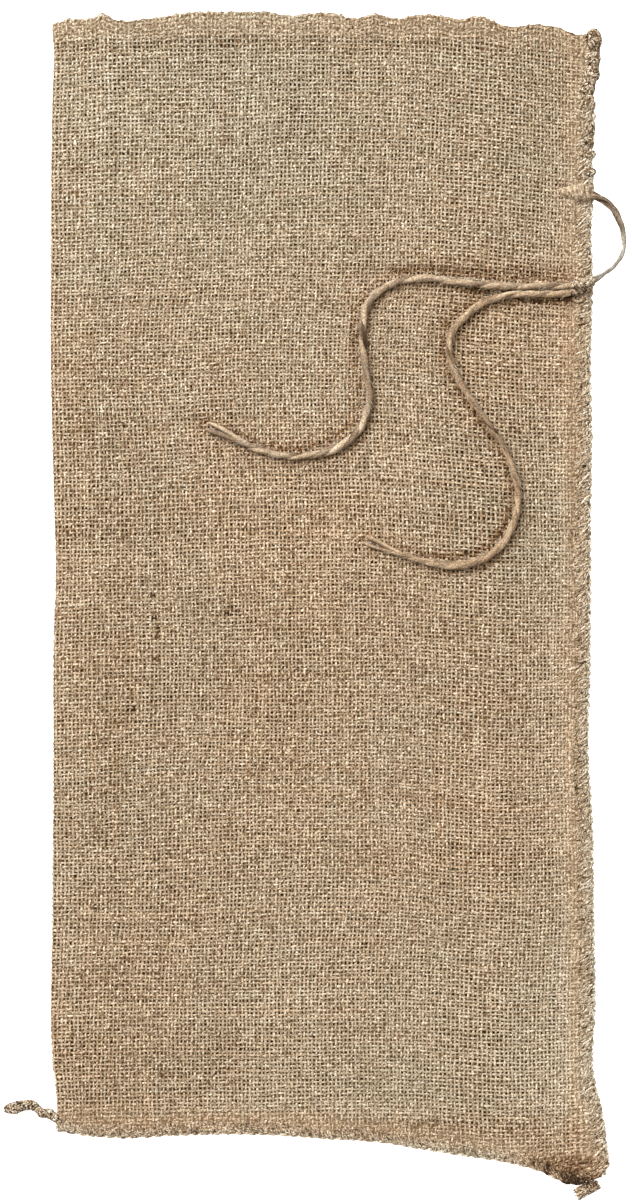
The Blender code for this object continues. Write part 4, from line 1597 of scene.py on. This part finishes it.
    def mat_legs(self, legs: Sequence[Array], material: Material) -> None:
        """Mats the tie's legs where they come back over the seam."""
        for name, leg, tone in zip(("long_leg_matting", "short_leg_matting"), legs, self.leg_tones):
            coming = leg[leg[:, 0].argmax():]
            over = coming[(coming[:, 0] > self.leg_over[0]) & (coming[:, 0] < self.leg_over[1])]
            self.mat_cord(name, over, self.leg_girth, None, tone, material)

    def build(self, yarn: Material) -> None:
        """Sews both edges and rolls the corner at the mouth."""
        self.sew("side_seam", EdgeLine(self.form, True, -374.0, 322.0), yarn)
        base = EdgeLine(self.form, False, -176.0, 170.0, 0.74, 0.5, 0.7, edge_light=0.24, bulge=0.35)
        self.sew("base_seam", base, yarn)
        self.roll(yarn)


# ---------------------------------------------------------------- the cords


class RoutePoint(NamedTuple):
    """A point of a cord's route, and its centre line's height over what the cord lies on."""

    x: float
    y: float
    lift: float = 2.4


@dataclass(frozen=True)
class Route:
    """The route of a cord, as the part has it."""

    rows: tuple[RoutePoint, ...]
    step: float = 1.0
    slope: float = 0.45
    hold: float = 4.0
    smooth: int = 9

    def line(self, form: SackForm, spacing: float) -> Array:
        """Drapes the cord over the sack and the floor.

        Args:
            form: The sack's form.
            spacing: About how far apart the points are.

        Returns:
            Points by coordinates.
        """
        x, y, lift = np.array(self.rows, float).T
        reach = np.concatenate([[0.0], np.cumsum(np.hypot(np.diff(x), np.diff(y)))])
        fine = np.linspace(0.0, reach[-1], round(reach[-1] / self.step) + 1)
        x, y, lift = (smooth_through(reach, values, fine) for values in (x, y, lift))
        insets = form.insets(x, y)
        held = np.where(np.minimum.reduce(insets) > 0.0, form.front_height(x, y, insets), 0.0)
        apart = np.abs(fine[:, None] - fine[None, :])
        held = (held[None, :] - self.slope * np.maximum(apart - self.hold, 0.0)).max(axis=1)
        window = np.hanning(2 * self.smooth + 3)[1:-1]
        z = np.convolve(np.pad(held, self.smooth, mode="edge"), window / window.sum(), mode="valid") + lift
        line = np.column_stack([x, y, z])
        length = way_along(line)
        places = np.linspace(0.0, length[-1], round(length[-1] / spacing) + 1)
        return np.column_stack([np.interp(places, length, line[:, i]) for i in range(3)])


TIE_LONG = rows_of(
    RoutePoint,
    (153.5, 260.6), (163, 260.6), (171, 259.4, 3.6), (179, 256, 5.3), (185, 250, 5.5), (189, 242, 6),
    (191, 233.5, 6.4), (191, 226.5, 6.6), (188.5, 220, 6.6), (184, 214.5, 6.6), (178.5, 210.5, 6.6),
    (171, 206.3, 6.9), (163, 203.5, 6), (153, 202.3, 3.6), (140, 202.2), (124, 202.2), (111, 202.4),
    (101, 203.2), (91.5, 204.2), (78.5, 205.8), (67.5, 207.5), (56, 207.5), (46, 205.8), (36.5, 201.8),
    (28, 195.5), (23.5, 187.5), (21.5, 177), (21.5, 164.5), (23, 151.5), (25, 138.5), (25.8, 128.5),
    (24, 119.5), (20, 111.5), (14.5, 104.5), (6.5, 98.8), (-5.5, 94.5), (-18.5, 92.5), (-31.5, 93.5),
    (-43.5, 96.3), (-54.5, 100.8), (-65.5, 106), (-79, 111.5),
)
TIE_SHORT = rows_of(
    RoutePoint,
    (153.5, 265.4), (163, 265.4), (171, 263.6), (179.5, 260, 2.1), (186.5, 254.5, 2.1), (190.8, 246.5, 2.1),
    (193.2, 237.5, 2.1), (193.2, 228, 2.1), (190, 219.5, 2.1), (185, 213.8, 2.1), (178.5, 209.3, 2.1),
    (171, 204.3), (163, 200), (153, 197.6), (140, 197.4), (124, 197.4), (114, 196.5), (105.5, 194),
    (96.5, 189.8), (88.5, 183.5), (82, 176.5), (78.5, 169), (77.5, 161), (78.8, 153.5), (82.5, 145),
    (87, 136.5), (92.2, 128), (98.2, 119.5), (105.5, 109), (112.5, 98.5), (118, 86.5), (121.2, 73.5),
    (121.5, 60.5), (118.5, 48.5), (113, 38), (105.5, 30.2), (96.5, 25), (85, 22.2), (72, 22.6), (59, 25.5),
    (46, 29.3), (36, 32.8), (23.5, 37.5),
)
TAIL_LEFT = rows_of(
    RoutePoint,
    (-178.8, -337.4, 2.8), (-184, -334.3, 2.8), (-188.5, -331.8, 2.8), (-193.5, -329.8, 2.8),
    (-199, -329.2, 2.8), (-204.5, -330, 2.8), (-210.5, -331.8, 2.8),
)
TAIL_RIGHT = rows_of(
    RoutePoint,
    (175, -380, 2.8), (170.5, -381.9, 2.8), (165.5, -384.2, 2.8), (160.5, -387.2, 2.8),
)


class Stretch(NamedTuple):
    """How a cord looks at a place, in millimetres along it, and how far to the right of its way it lies."""

    way: float
    thick: float
    tone: float
    warmth: float
    aside: float = 0.0


class Ply(NamedTuple):
    """How the plies of a cord lie: their number, radius, distance from the middle and length of a turn."""

    count: int
    radius: float
    offset: float
    turn: float


@dataclass
class Cord:
    """A free cord of twisted plies, with its plies apart at the far end where it frays."""

    name: str
    node: str
    route: Route
    diameter: float
    ply: Ply
    slot: Slot
    looks: tuple[Stretch, ...]
    seed: int
    fray: float = 0.0
    fray_spread: float = 2.6
    sides: int = 8
    spacing: float = 1.0
    frayed: float = 0.7
    fan: float = 1.8
    bedded: float = 0.35
    drift: float = 0.5
    drift_run: float = 14.0
    uneven: tuple[Pair, ...] = ((0.06, 6.0), (0.03, 1.5))
    tip_length: float = 3.0
    tip_girth: float = 0.12
    root_girth: float = 0.3

    def look(self, part: str, way: Array) -> Array:
        """Reads one of the numbers of the cord's looks along it."""
        return np.interp(way, [look.way for look in self.looks], [getattr(look, part) for look in self.looks])

    def plies(self, line: Array) -> tuple[Array, Array]:
        """Winds the plies round the cord's line.

        Args:
            line: The cord's centre line.

        Returns:
            The plies' paths, and radii along them.
        """
        rng = np.random.default_rng(self.seed)
        way = way_along(line)
        length = way[-1]
        ahead = unit(np.gradient(line, axis=0))
        side = unit(np.cross(ahead, UP))
        up = np.cross(side, ahead)
        apart = ease((way - length + self.fray) / max(self.fray, 1.0)) if self.fray else np.zeros_like(way)
        last = length - self.frayed * self.fray
        held = np.minimum(way, last) - last
        drift = soft_noise(rng, (1, len(way)), (0.0, self.drift_run))[0] * self.drift
        thickness, aside = self.look("thick", way), self.look("aside", way)
        tip = np.clip((length - way) / self.tip_length, self.tip_girth, 1.0) ** 0.5
        tip = tip * np.clip(way + self.root_girth, self.root_girth, 1.0)
        paths, radii = [], []
        for number in range(self.ply.count):
            angle = 2 * np.pi * (held / self.ply.turn + number / self.ply.count) + drift * (1 - apart)
            offset = self.ply.offset * thickness * (1 - apart)
            fan = 1.0 - self.fan * number / (self.ply.count - 1)
            sideways = offset * np.cos(angle) + apart * self.fray_spread * fan + aside
            lifted = offset * np.sin(angle) - apart * (self.diameter / 2 - self.ply.radius) - self.bedded
            paths.append(line + side * sideways[:, None] + up * lifted[:, None])
            thick = 1.0
            for strength, spread in self.uneven:
                thick = thick + strength * soft_noise(rng, (1, len(way)), (0.0, spread))[0]
            radii.append(self.ply.radius * thickness * thick * tip)
        return np.stack(paths), np.stack(radii)

    def build(self, form: SackForm, material: Material, declare: bool = True) -> Array:
        """Builds the cord in its solid's place.

        Args:
            form: The sack's form.
            material: The yarn's finish.
            declare: Not used.

        Returns:
            Its centre line.
        """
        line = self.route.line(form, self.spacing)
        paths, radii = self.plies(line)
        length = float(np.linalg.norm(np.diff(line, axis=0), axis=1).sum())
        way = np.linspace(0.0, length, len(line))
        tone, warmth, twine = self.look("tone", way), self.look("warmth", way), self.slot is Slot.TWINE
        cord = SPIN.sweep(
            self.name, self.slot, material, paths, radii, UP, self.sides, self.seed, tone, warmth, twine
        )
        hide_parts(self.node)
        return line


TWINE_PLY = Ply(count=2, radius=1.78, offset=0.58, turn=24.0)
TAIL_PLY = Ply(count=3, radius=1.5, offset=1.0, turn=13.0)
TAB_PLY = Ply(count=5, radius=1.45, offset=2.2, turn=26.0)
# In the loop, about 20 to 90 mm along each leg, the upper stretch is darker and browner and the lower stretch
# paler and greyer; the lower stretch's pale grey is partly painted light, as where it is over-lit.
LONG_LOOKS = rows_of(
    Stretch,
    (0, 0.4, 0.66, 1, -1), (9, 0.95, 0.62, 1, -1), (20, 0.85, 0.16, 0.55, -0.3), (46, 0.8, 0.18, 0.4),
    (60, 0.66, 0.5, 0), (88, 0.64, 0.5, 0), (100, 0.9, 0.42, 0.7), (115, 1, 0.46, 0.8),
    (150, 1.05, 0.52, 0.8, -0.7), (208, 1.1, 0.48, 0.8, -0.7), (249, 1.1, 0.38, 0.8, -0.6),
    (289, 1, 0.3, 0.8, -0.3), (330, 1.2, 0.4, 0.8, -0.6), (370, 1.05, 0.41, 0.8, -0.8),
    (404, 0.95, 0.33, 0.8, -0.8), (424, 0.9, 0.33, 0.8, 0),
)
SHORT_LOOKS = rows_of(
    Stretch,
    (0, 0.4, 0.66, 1, 1), (9, 0.95, 0.62, 1, 1), (20, 0.75, 0.14, 0.5, 1.5), (46, 0.6, 0.18, 0.4, 1.6),
    (60, 0.5, 0.58, 0, 1.6), (84, 0.5, 0.58, 0, 1.4), (100, 0.9, 0.37, 0.7, 0.4), (115, 1, 0.38, 0.8),
    (149, 1, 0.48, 0.8, -0.6), (189, 1.05, 0.46, 0.8, -0.5), (228, 0.95, 0.32, 0.8),
    (306, 0.95, 0.24, 0.8, -0.3), (346, 1.1, 0.44, 0.8, -0.9), (385, 1.18, 0.45, 0.8, -0.6),
    (414, 0.85, 0.4, 0.8, -0.8), (434, 0.85, 0.4, 0.8, 0),
)
TAIL_LOOKS = rows_of(
    Stretch,
    (0, 0.8, 0.15, 0.4, 0.8), (8, 1, 0.15, 0.4, -0.4), (15, 1, 0.15, 0.4, 1.2), (27, 1.2, 0.15, 0.4, -0.5),
    (33, 0.7, 0.15, 0.4, 0.2),
)
TAB_LOOKS = (Stretch(0.0, 0.8, 0.12, 1.0), Stretch(6.0, 1.0, 0.40, 0.7), Stretch(15.0, 0.9, 0.45, 0.4))
CORDS = (
    Cord("tie_long_twine", "tie_long", Route(TIE_LONG), 4.0, TWINE_PLY, Slot.TWINE, LONG_LOOKS, 21, 30.0),
    Cord("tie_short_twine", "tie_short", Route(TIE_SHORT), 4.0, TWINE_PLY, Slot.TWINE, SHORT_LOOKS, 22, 26.0),
    Cord(
        "left_tail_chain", "seam_tail_left", Route(TAIL_LEFT), 5.4, TAIL_PLY, Slot.SEAM, TAIL_LOOKS, 23,
        sides=9,
    ),
    Cord(
        "right_tail_chain", "seam_tail_right", Route(TAIL_RIGHT), 5.4, TAB_PLY, Slot.SEAM, TAB_LOOKS, 24,
        fray=9.0, fray_spread=3.4, sides=9,
    ),
)


# ---------------------------------------------------------------- what holds the tie, and loose fibres


class Winding(NamedTuple):
    """One wind of seam yarn over the tie: its place, and how wide and how high it stands there."""

    x: float
    y: float
    half_width: float
    height: float


class Curl(NamedTuple):
    """A small closed curl of yarn lying on the cloth."""

    x: float
    y: float
    across: float
    along: float
    lift: float
    yarn: float
    tone: float


@dataclass
class TieSewing:
    """The seam yarn that sews the twine's middle to the side seam, and the curl beside it."""

    form: SackForm
    seed: int = 41
    start: Winding = Winding(151.5, 263.4, 1.6, 1.6)
    middle: Winding = Winding(158.0, 263.1, 3.9, 4.4)
    end: Winding = Winding(168.5, 262.6, 5.2, 5.3)
    winds: int = 14
    yarn: float = 0.95
    sides: int = 6
    spread: tuple[float, ...] = (0.25, 0.3, 0.25, 0.15)
    curl: Curl = Curl(161.6, 194.6, 3.0, 2.3, 0.9, 0.85, 0.34)

    def build(self, material: Material) -> None:
        """Winds the yarn over the twine and lays the curl."""
        rng = np.random.default_rng(self.seed)
        share = np.linspace(0.0, 2.0, self.winds)
        stages = np.array([self.start, self.middle, self.end])
        place = np.stack([np.interp(share, [0.0, 1.0, 2.0], column) for column in stages.T], axis=-1)
        place += rng.standard_normal(place.shape) * self.spread
        turn = np.linspace(-0.12, 1.12, 13) * np.pi
        x = place[:, :1] + 0.9 * np.cos(turn)
        y = place[:, 1:2] - place[:, 2:3] * np.cos(turn)
        z = self.form.height(x, y) - 0.6 + place[:, 3:] * np.sin(turn)
        radii = self.yarn * (1.0 + 0.15 * rng.standard_normal(x.shape))
        lines = ("tie_sewing", np.stack([x, y, z], axis=-1), radii, (1.0, 0.1, 0.0), 0.5, 0.62)
        curl = self.curl
        turn = np.linspace(0.0, 2.15, 25)[None] * np.pi
        x, y = curl.x + curl.across * np.cos(turn), curl.y + curl.along * np.sin(turn)
        z = self.form.height(x, y) + curl.lift + 0.3 * np.sin(turn / 2)
        radii = curl.yarn * (1.0 + 0.12 * rng.standard_normal(x.shape))
        ring = ("tie_curl_1", np.stack([x, y, z], axis=-1), radii, UP, curl.tone, 0.8)
        for name, paths, radii, across, tone, warmth in (lines, ring):
            SPIN.sweep(name, Slot.SEAM, material, paths, radii, across, self.sides, self.seed, tone, warmth)


@dataclass
class Fibres:
    """Loose jute fibres that stand off the cloth, its edges and the twine."""

    form: SackForm
    seed: int = 31
    on_front: int = 3800
    on_back: int = 1400
    on_edges: int = 900
    on_cord: int = 420
    on_tail: int = 60
    width: float = 0.17
    stations: int = 4
    dark: float = 0.2
    dark_tone: float = 0.16
    shift: float = 3.7
    clear: float = 2.2
    twine_radius: float = 2.2
    low: float = 0.15
    tones: Pair = (0.45, 0.9)
    tints: Pair = (0.2, 0.9)
    thickness: Pair = (0.6, 1.5)
    tip: float = 0.45
    cloth_along: Pair = (-370.0, 376.0)
    cloth_length: Pair = (3.0, 9.0)
    cloth_bend: float = 0.9
    off_yarn: float = 0.3
    bow: Pair = (0.15, 0.5)
    bow_sunk: float = 0.1
    rim_along: Pair = (-340.0, 705.0)
    rim_across: Pair = (-172.0, 340.0)
    rim_turn: float = 0.7
    rim_length: Pair = (1.2, 3.6)
    rim_height: tuple[float, float, float, float] = (1.8, 2.3, 2.3, 4.5)
    rim_lift: Pair = (-1.0, 1.6)
    rim_rise: Pair = (-1.2, 0.8)
    cord_away: Pair = (0.15, 0.9)
    cord_length: Pair = (2.0, 6.0)
    cord_bend: float = 0.6
    cord_rise: Pair = (-0.8, 0.8)

    def ribbons(self, name: str, paths: Array, slot: Slot, material: Material) -> None:
        """Makes thin flat fibres along paths.

        Args:
            name: The piece's name.
            paths: Fibres by points by coordinates.
            slot: Their material slot, handed on.
            material: Their finish.
        """
        rng = np.random.default_rng([self.seed, len(paths)])
        ahead = np.gradient(paths, axis=1)
        side = np.stack([-ahead[..., 1], ahead[..., 0], np.zeros(ahead.shape[:2])], axis=-1)
        side /= np.linalg.norm(side, axis=-1, keepdims=True) + 1e-9
        count, stations = paths.shape[:2]
        taper = np.linspace(1.0, self.tip, stations)[None, :] * rng.uniform(*self.thickness, (count, 1))
        half = side * (self.width / 2 * taper)[..., None]
        points = np.stack([paths - half, paths + half], axis=2)
        flat = np.zeros(points.shape[:3])
        piece = Piece(name, points.reshape(-1, 3), strips(count, stations, 2))
        each = (count, 1, 1)
        tone = np.where(rng.random(each) < self.dark, self.dark_tone, rng.uniform(*self.tones, each))
        tint = rng.uniform(*self.tints, each)
        way = np.arange(stations)[None, :, None] + np.arange(count)[:, None, None] * self.shift + flat
        piece.as_yarn(tone + flat, tint + flat, np.stack([flat, way], axis=-1), slot, material)

    def curved(self, x: Array, y: Array, angle: Array, length: Array, bend: Array) -> Array:
        """Draws gently bent lines from their starts, seen from above."""
        share = np.linspace(0.0, 1.0, self.stations)
        turned = angle[:, None] + bend[:, None] * share
        step = length[:, None] / (self.stations - 1)
        moves = np.stack([np.cos(turned), np.sin(turned)], axis=-1) * step[..., None]
        moves[:, 0] = 0.0
        return np.stack([x, y], axis=-1)[:, None] + np.cumsum(moves, axis=1)

    def on_cloth(self, count: int, side: float, rng: Rng) -> Array:
        """Strews fibres over one face of the cloth."""
        form = self.form
        x, y = rng.uniform(-form.width / 2, form.width / 2, count), rng.uniform(*self.cloth_along, count)
        along_yarn = rng.integers(0, 4, count) * np.pi / 2 + rng.normal(0.0, self.off_yarn, count)
        angle = np.where(rng.random(count) < 0.5, along_yarn, rng.uniform(0.0, 2 * np.pi, count))
        length, bend = rng.uniform(*self.cloth_length, count), rng.normal(0.0, self.cloth_bend, count)
        flat = self.curved(x, y, angle, length, bend)
        insets = np.stack(form.insets(flat[..., 0], flat[..., 1]))
        flat = flat[insets.min(axis=(0, 2)) > self.clear]
        spot = form.face(flat[..., 0], flat[..., 1], np.full(flat.shape[:2], side))
        swing = np.sin(np.linspace(0.1, 0.95, self.stations) * np.pi)
        bow = swing * rng.uniform(*self.bow, (len(flat), 1)) - self.bow_sunk
        if side < 0:
            bow = np.minimum(bow, -0.06)
        return spot.points + spot.outward * bow[..., None]

    def risen(self, flat: Array, start: Array, rise: Array) -> Array:
        """Gives flat lines their heights, from those of their starts and how far each rises."""
        height = start[:, None] + np.linspace(0.0, 1.0, self.stations) * rise
        return np.concatenate([flat, np.maximum(height, self.low)[..., None]], axis=-1)

    def on_rim(self, count: int, rng: Rng) -> Array:
        """Sets fibres along the fold, the mouth and the sewn edges."""
        form = self.form
        which = rng.integers(0, 4, count)
        place = rng.uniform(0.0, 1.0, count)
        along, across = (start + span * place for start, span in (self.rim_along, self.rim_across))
        x = np.choose(which, (form.fold.at(along) + 0.5, form.seam.at(along) - 0.3, across, across))
        y = np.choose(which, (along, along, form.base.at(across) + 0.3, form.mouth.at(across) - 0.2))
        out = np.choose(which, (np.pi, 0.0, -np.pi / 2, np.pi / 2)) + rng.normal(0.0, self.rim_turn, count)
        flat = self.curved(x, y, out, rng.uniform(*self.rim_length, count), rng.normal(0.0, 1.0, count))
        high = np.choose(which, self.rim_height) + rng.uniform(*self.rim_lift, count)
        return self.risen(flat, high, rng.uniform(*self.rim_rise, (count, 1)))

    def on_line(self, line: Array, radius: float, count: int, rng: Rng) -> Array:
        """Sets fibres along a cord."""
        spot = rng.integers(1, len(line) - 1, count)
        ahead = line[spot + 1] - line[spot - 1]
        heading = np.arctan2(ahead[:, 1], ahead[:, 0])
        around = rng.uniform(-0.3, np.pi + 0.3, count)
        left = np.stack([-np.sin(heading), np.cos(heading), np.zeros(count)], axis=-1)
        root = line[spot] + left * (radius * np.cos(around))[:, None]
        away = np.where(np.cos(around) > 0.0, 1.0, -1.0) * rng.uniform(*self.cord_away, count)
        length, bend = rng.uniform(*self.cord_length, count), rng.normal(0.0, self.cord_bend, count)
        flat = self.curved(root[:, 0], root[:, 1], heading + away, length, bend)
        start = root[:, 2] + radius * np.sin(around)
        return self.risen(flat, start, rng.uniform(*self.cord_rise, (count, 1)))

    def build(self, cloth: Material, twine: Material, lines: Sequence[Array]) -> None:
        """Builds all the loose fibres.

        Args:
            cloth: The finish of the cloth's fibres.
            twine: The finish of the twine's fibres.
            lines: The centre lines of the cords that have fibres.
        """
        rng = np.random.default_rng(self.seed)
        self.ribbons("front_fibres", self.on_cloth(self.on_front, 1.0, rng), Slot.CLOTH, cloth)
        self.ribbons("back_fibres", self.on_cloth(self.on_back, -1.0, rng), Slot.CLOTH, cloth)
        self.ribbons("edge_fibres", self.on_rim(self.on_edges, rng), Slot.CLOTH, cloth)
        counts = [self.on_cord if len(line) > 100 else self.on_tail for line in lines]
        fuzz = [self.on_line(line, self.twine_radius, count, rng) for line, count in zip(lines, counts)]
        self.ribbons("twine_fibres", np.concatenate(fuzz), Slot.TWINE, twine)


# ---------------------------------------------------------------- the studio


@dataclass(frozen=True)
class Studio:
    """The pale floor, the soft lights and the camera straight above."""

    view_height: float = 0.7776
    view_centre: Pair = (-0.0083, -0.0010)
    lens: float = 100.0
    sensor: float = 36.0
    far: float = 50.0
    level: float = 0.005
    key_place: Triple = (-2.9, 3.5, 4.7)
    key_size: float = 5.0
    key_power: float = 920.0
    fill: float = 0.50
    fill_colour: tuple[float, float, float, float] = (1.0, 0.91, 0.78, 1.0)
    floor_size: float = 60.0
    floor_colour: tuple[float, float, float, float] = (0.93, 0.93, 0.93, 1.0)
    floor_glow: float = 1.5

    def floor(self) -> None:
        """Lays the floor."""
        bpy.ops.object.select_all(action="DESELECT")
        bpy.ops.mesh.primitive_plane_add(size=self.floor_size, location=(0.0, 0.0, 0.0))
        plane = bpy.context.object
        plane.name = "floor"
        s = Shading("pale_floor", roughness=0.8, specular=0.1)
        s.shader.inputs["Base Color"].default_value = self.floor_colour
        s.shader.inputs["Emission Color"].default_value = (1.0, 1.0, 1.0, 1.0)
        s.shader.inputs["Emission Strength"].default_value = self.floor_glow
        plane.data.materials.append(s.material)

    def lights(self) -> None:
        """Hangs the key light at the upper left, and lights the room evenly."""
        bpy.ops.object.select_all(action="DESELECT")
        bpy.ops.object.light_add(type="AREA", location=self.key_place)
        key = bpy.context.object
        key.name = "key"
        key.data.size = self.key_size
        key.data.energy = self.key_power
        towards = np.array(self.key_place)
        flat = float(np.hypot(towards[0], towards[1]))
        tilt, turn = np.arctan2(flat, towards[2]), np.arctan2(towards[0], -towards[1])
        key.rotation_euler = (float(tilt), 0.0, float(turn))
        world = bpy.data.worlds.new("room")
        world.use_nodes = True
        back = world.node_tree.nodes["Background"]
        back.inputs[0].default_value = self.fill_colour
        back.inputs[1].default_value = self.fill
        bpy.context.scene.world = world

    def camera(self) -> None:
        """Hangs the camera over the sack."""
        distance = self.lens / self.sensor * self.view_height
        bpy.ops.object.select_all(action="DESELECT")
        bpy.ops.object.camera_add(location=(*self.view_centre, self.level + distance))
        eye = bpy.context.object
        eye.data.lens = self.lens
        eye.data.sensor_width = self.sensor
        eye.data.clip_end = self.far
        bpy.context.scene.camera = eye

    def build(self) -> None:
        """Sets up the studio."""
        bpy.context.scene.view_settings.view_transform = "Standard"
        self.floor()
        self.lights()
        self.camera()


def main() -> None:
    """Builds the sack's looks and the studio round it."""
    logging.basicConfig(level=logging.INFO, format="%(name)s: %(message)s")
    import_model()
    form = SackForm()
    Studio().build()
    cloth_yarn, seam_yarn, twine_yarn = (yarn.material() for yarn in (CLOTH_YARN, SEAM_YARN, TWINE_YARN))
    wear_and_shade = WearAndShade()
    Weave(form, wear_and_shade).build(cloth_yarn)
    overcast = Overcast(form, wear_and_shade)
    overcast.build(seam_yarn)
    TieSewing(form).build(seam_yarn)
    lines = []
    for cord in CORDS:
        yarn = twine_yarn if cord.slot is Slot.TWINE else seam_yarn
        lines.append(cord.build(form, yarn, declare=cord.node != "seam_tail_right"))
    overcast.mat_tails(lines[2], lines[3], seam_yarn)
    overcast.mat_legs(lines[:2], seam_yarn)
    Fibres(form).build(cloth_yarn, twine_yarn, lines)


if __name__ == "__main__":
    main()
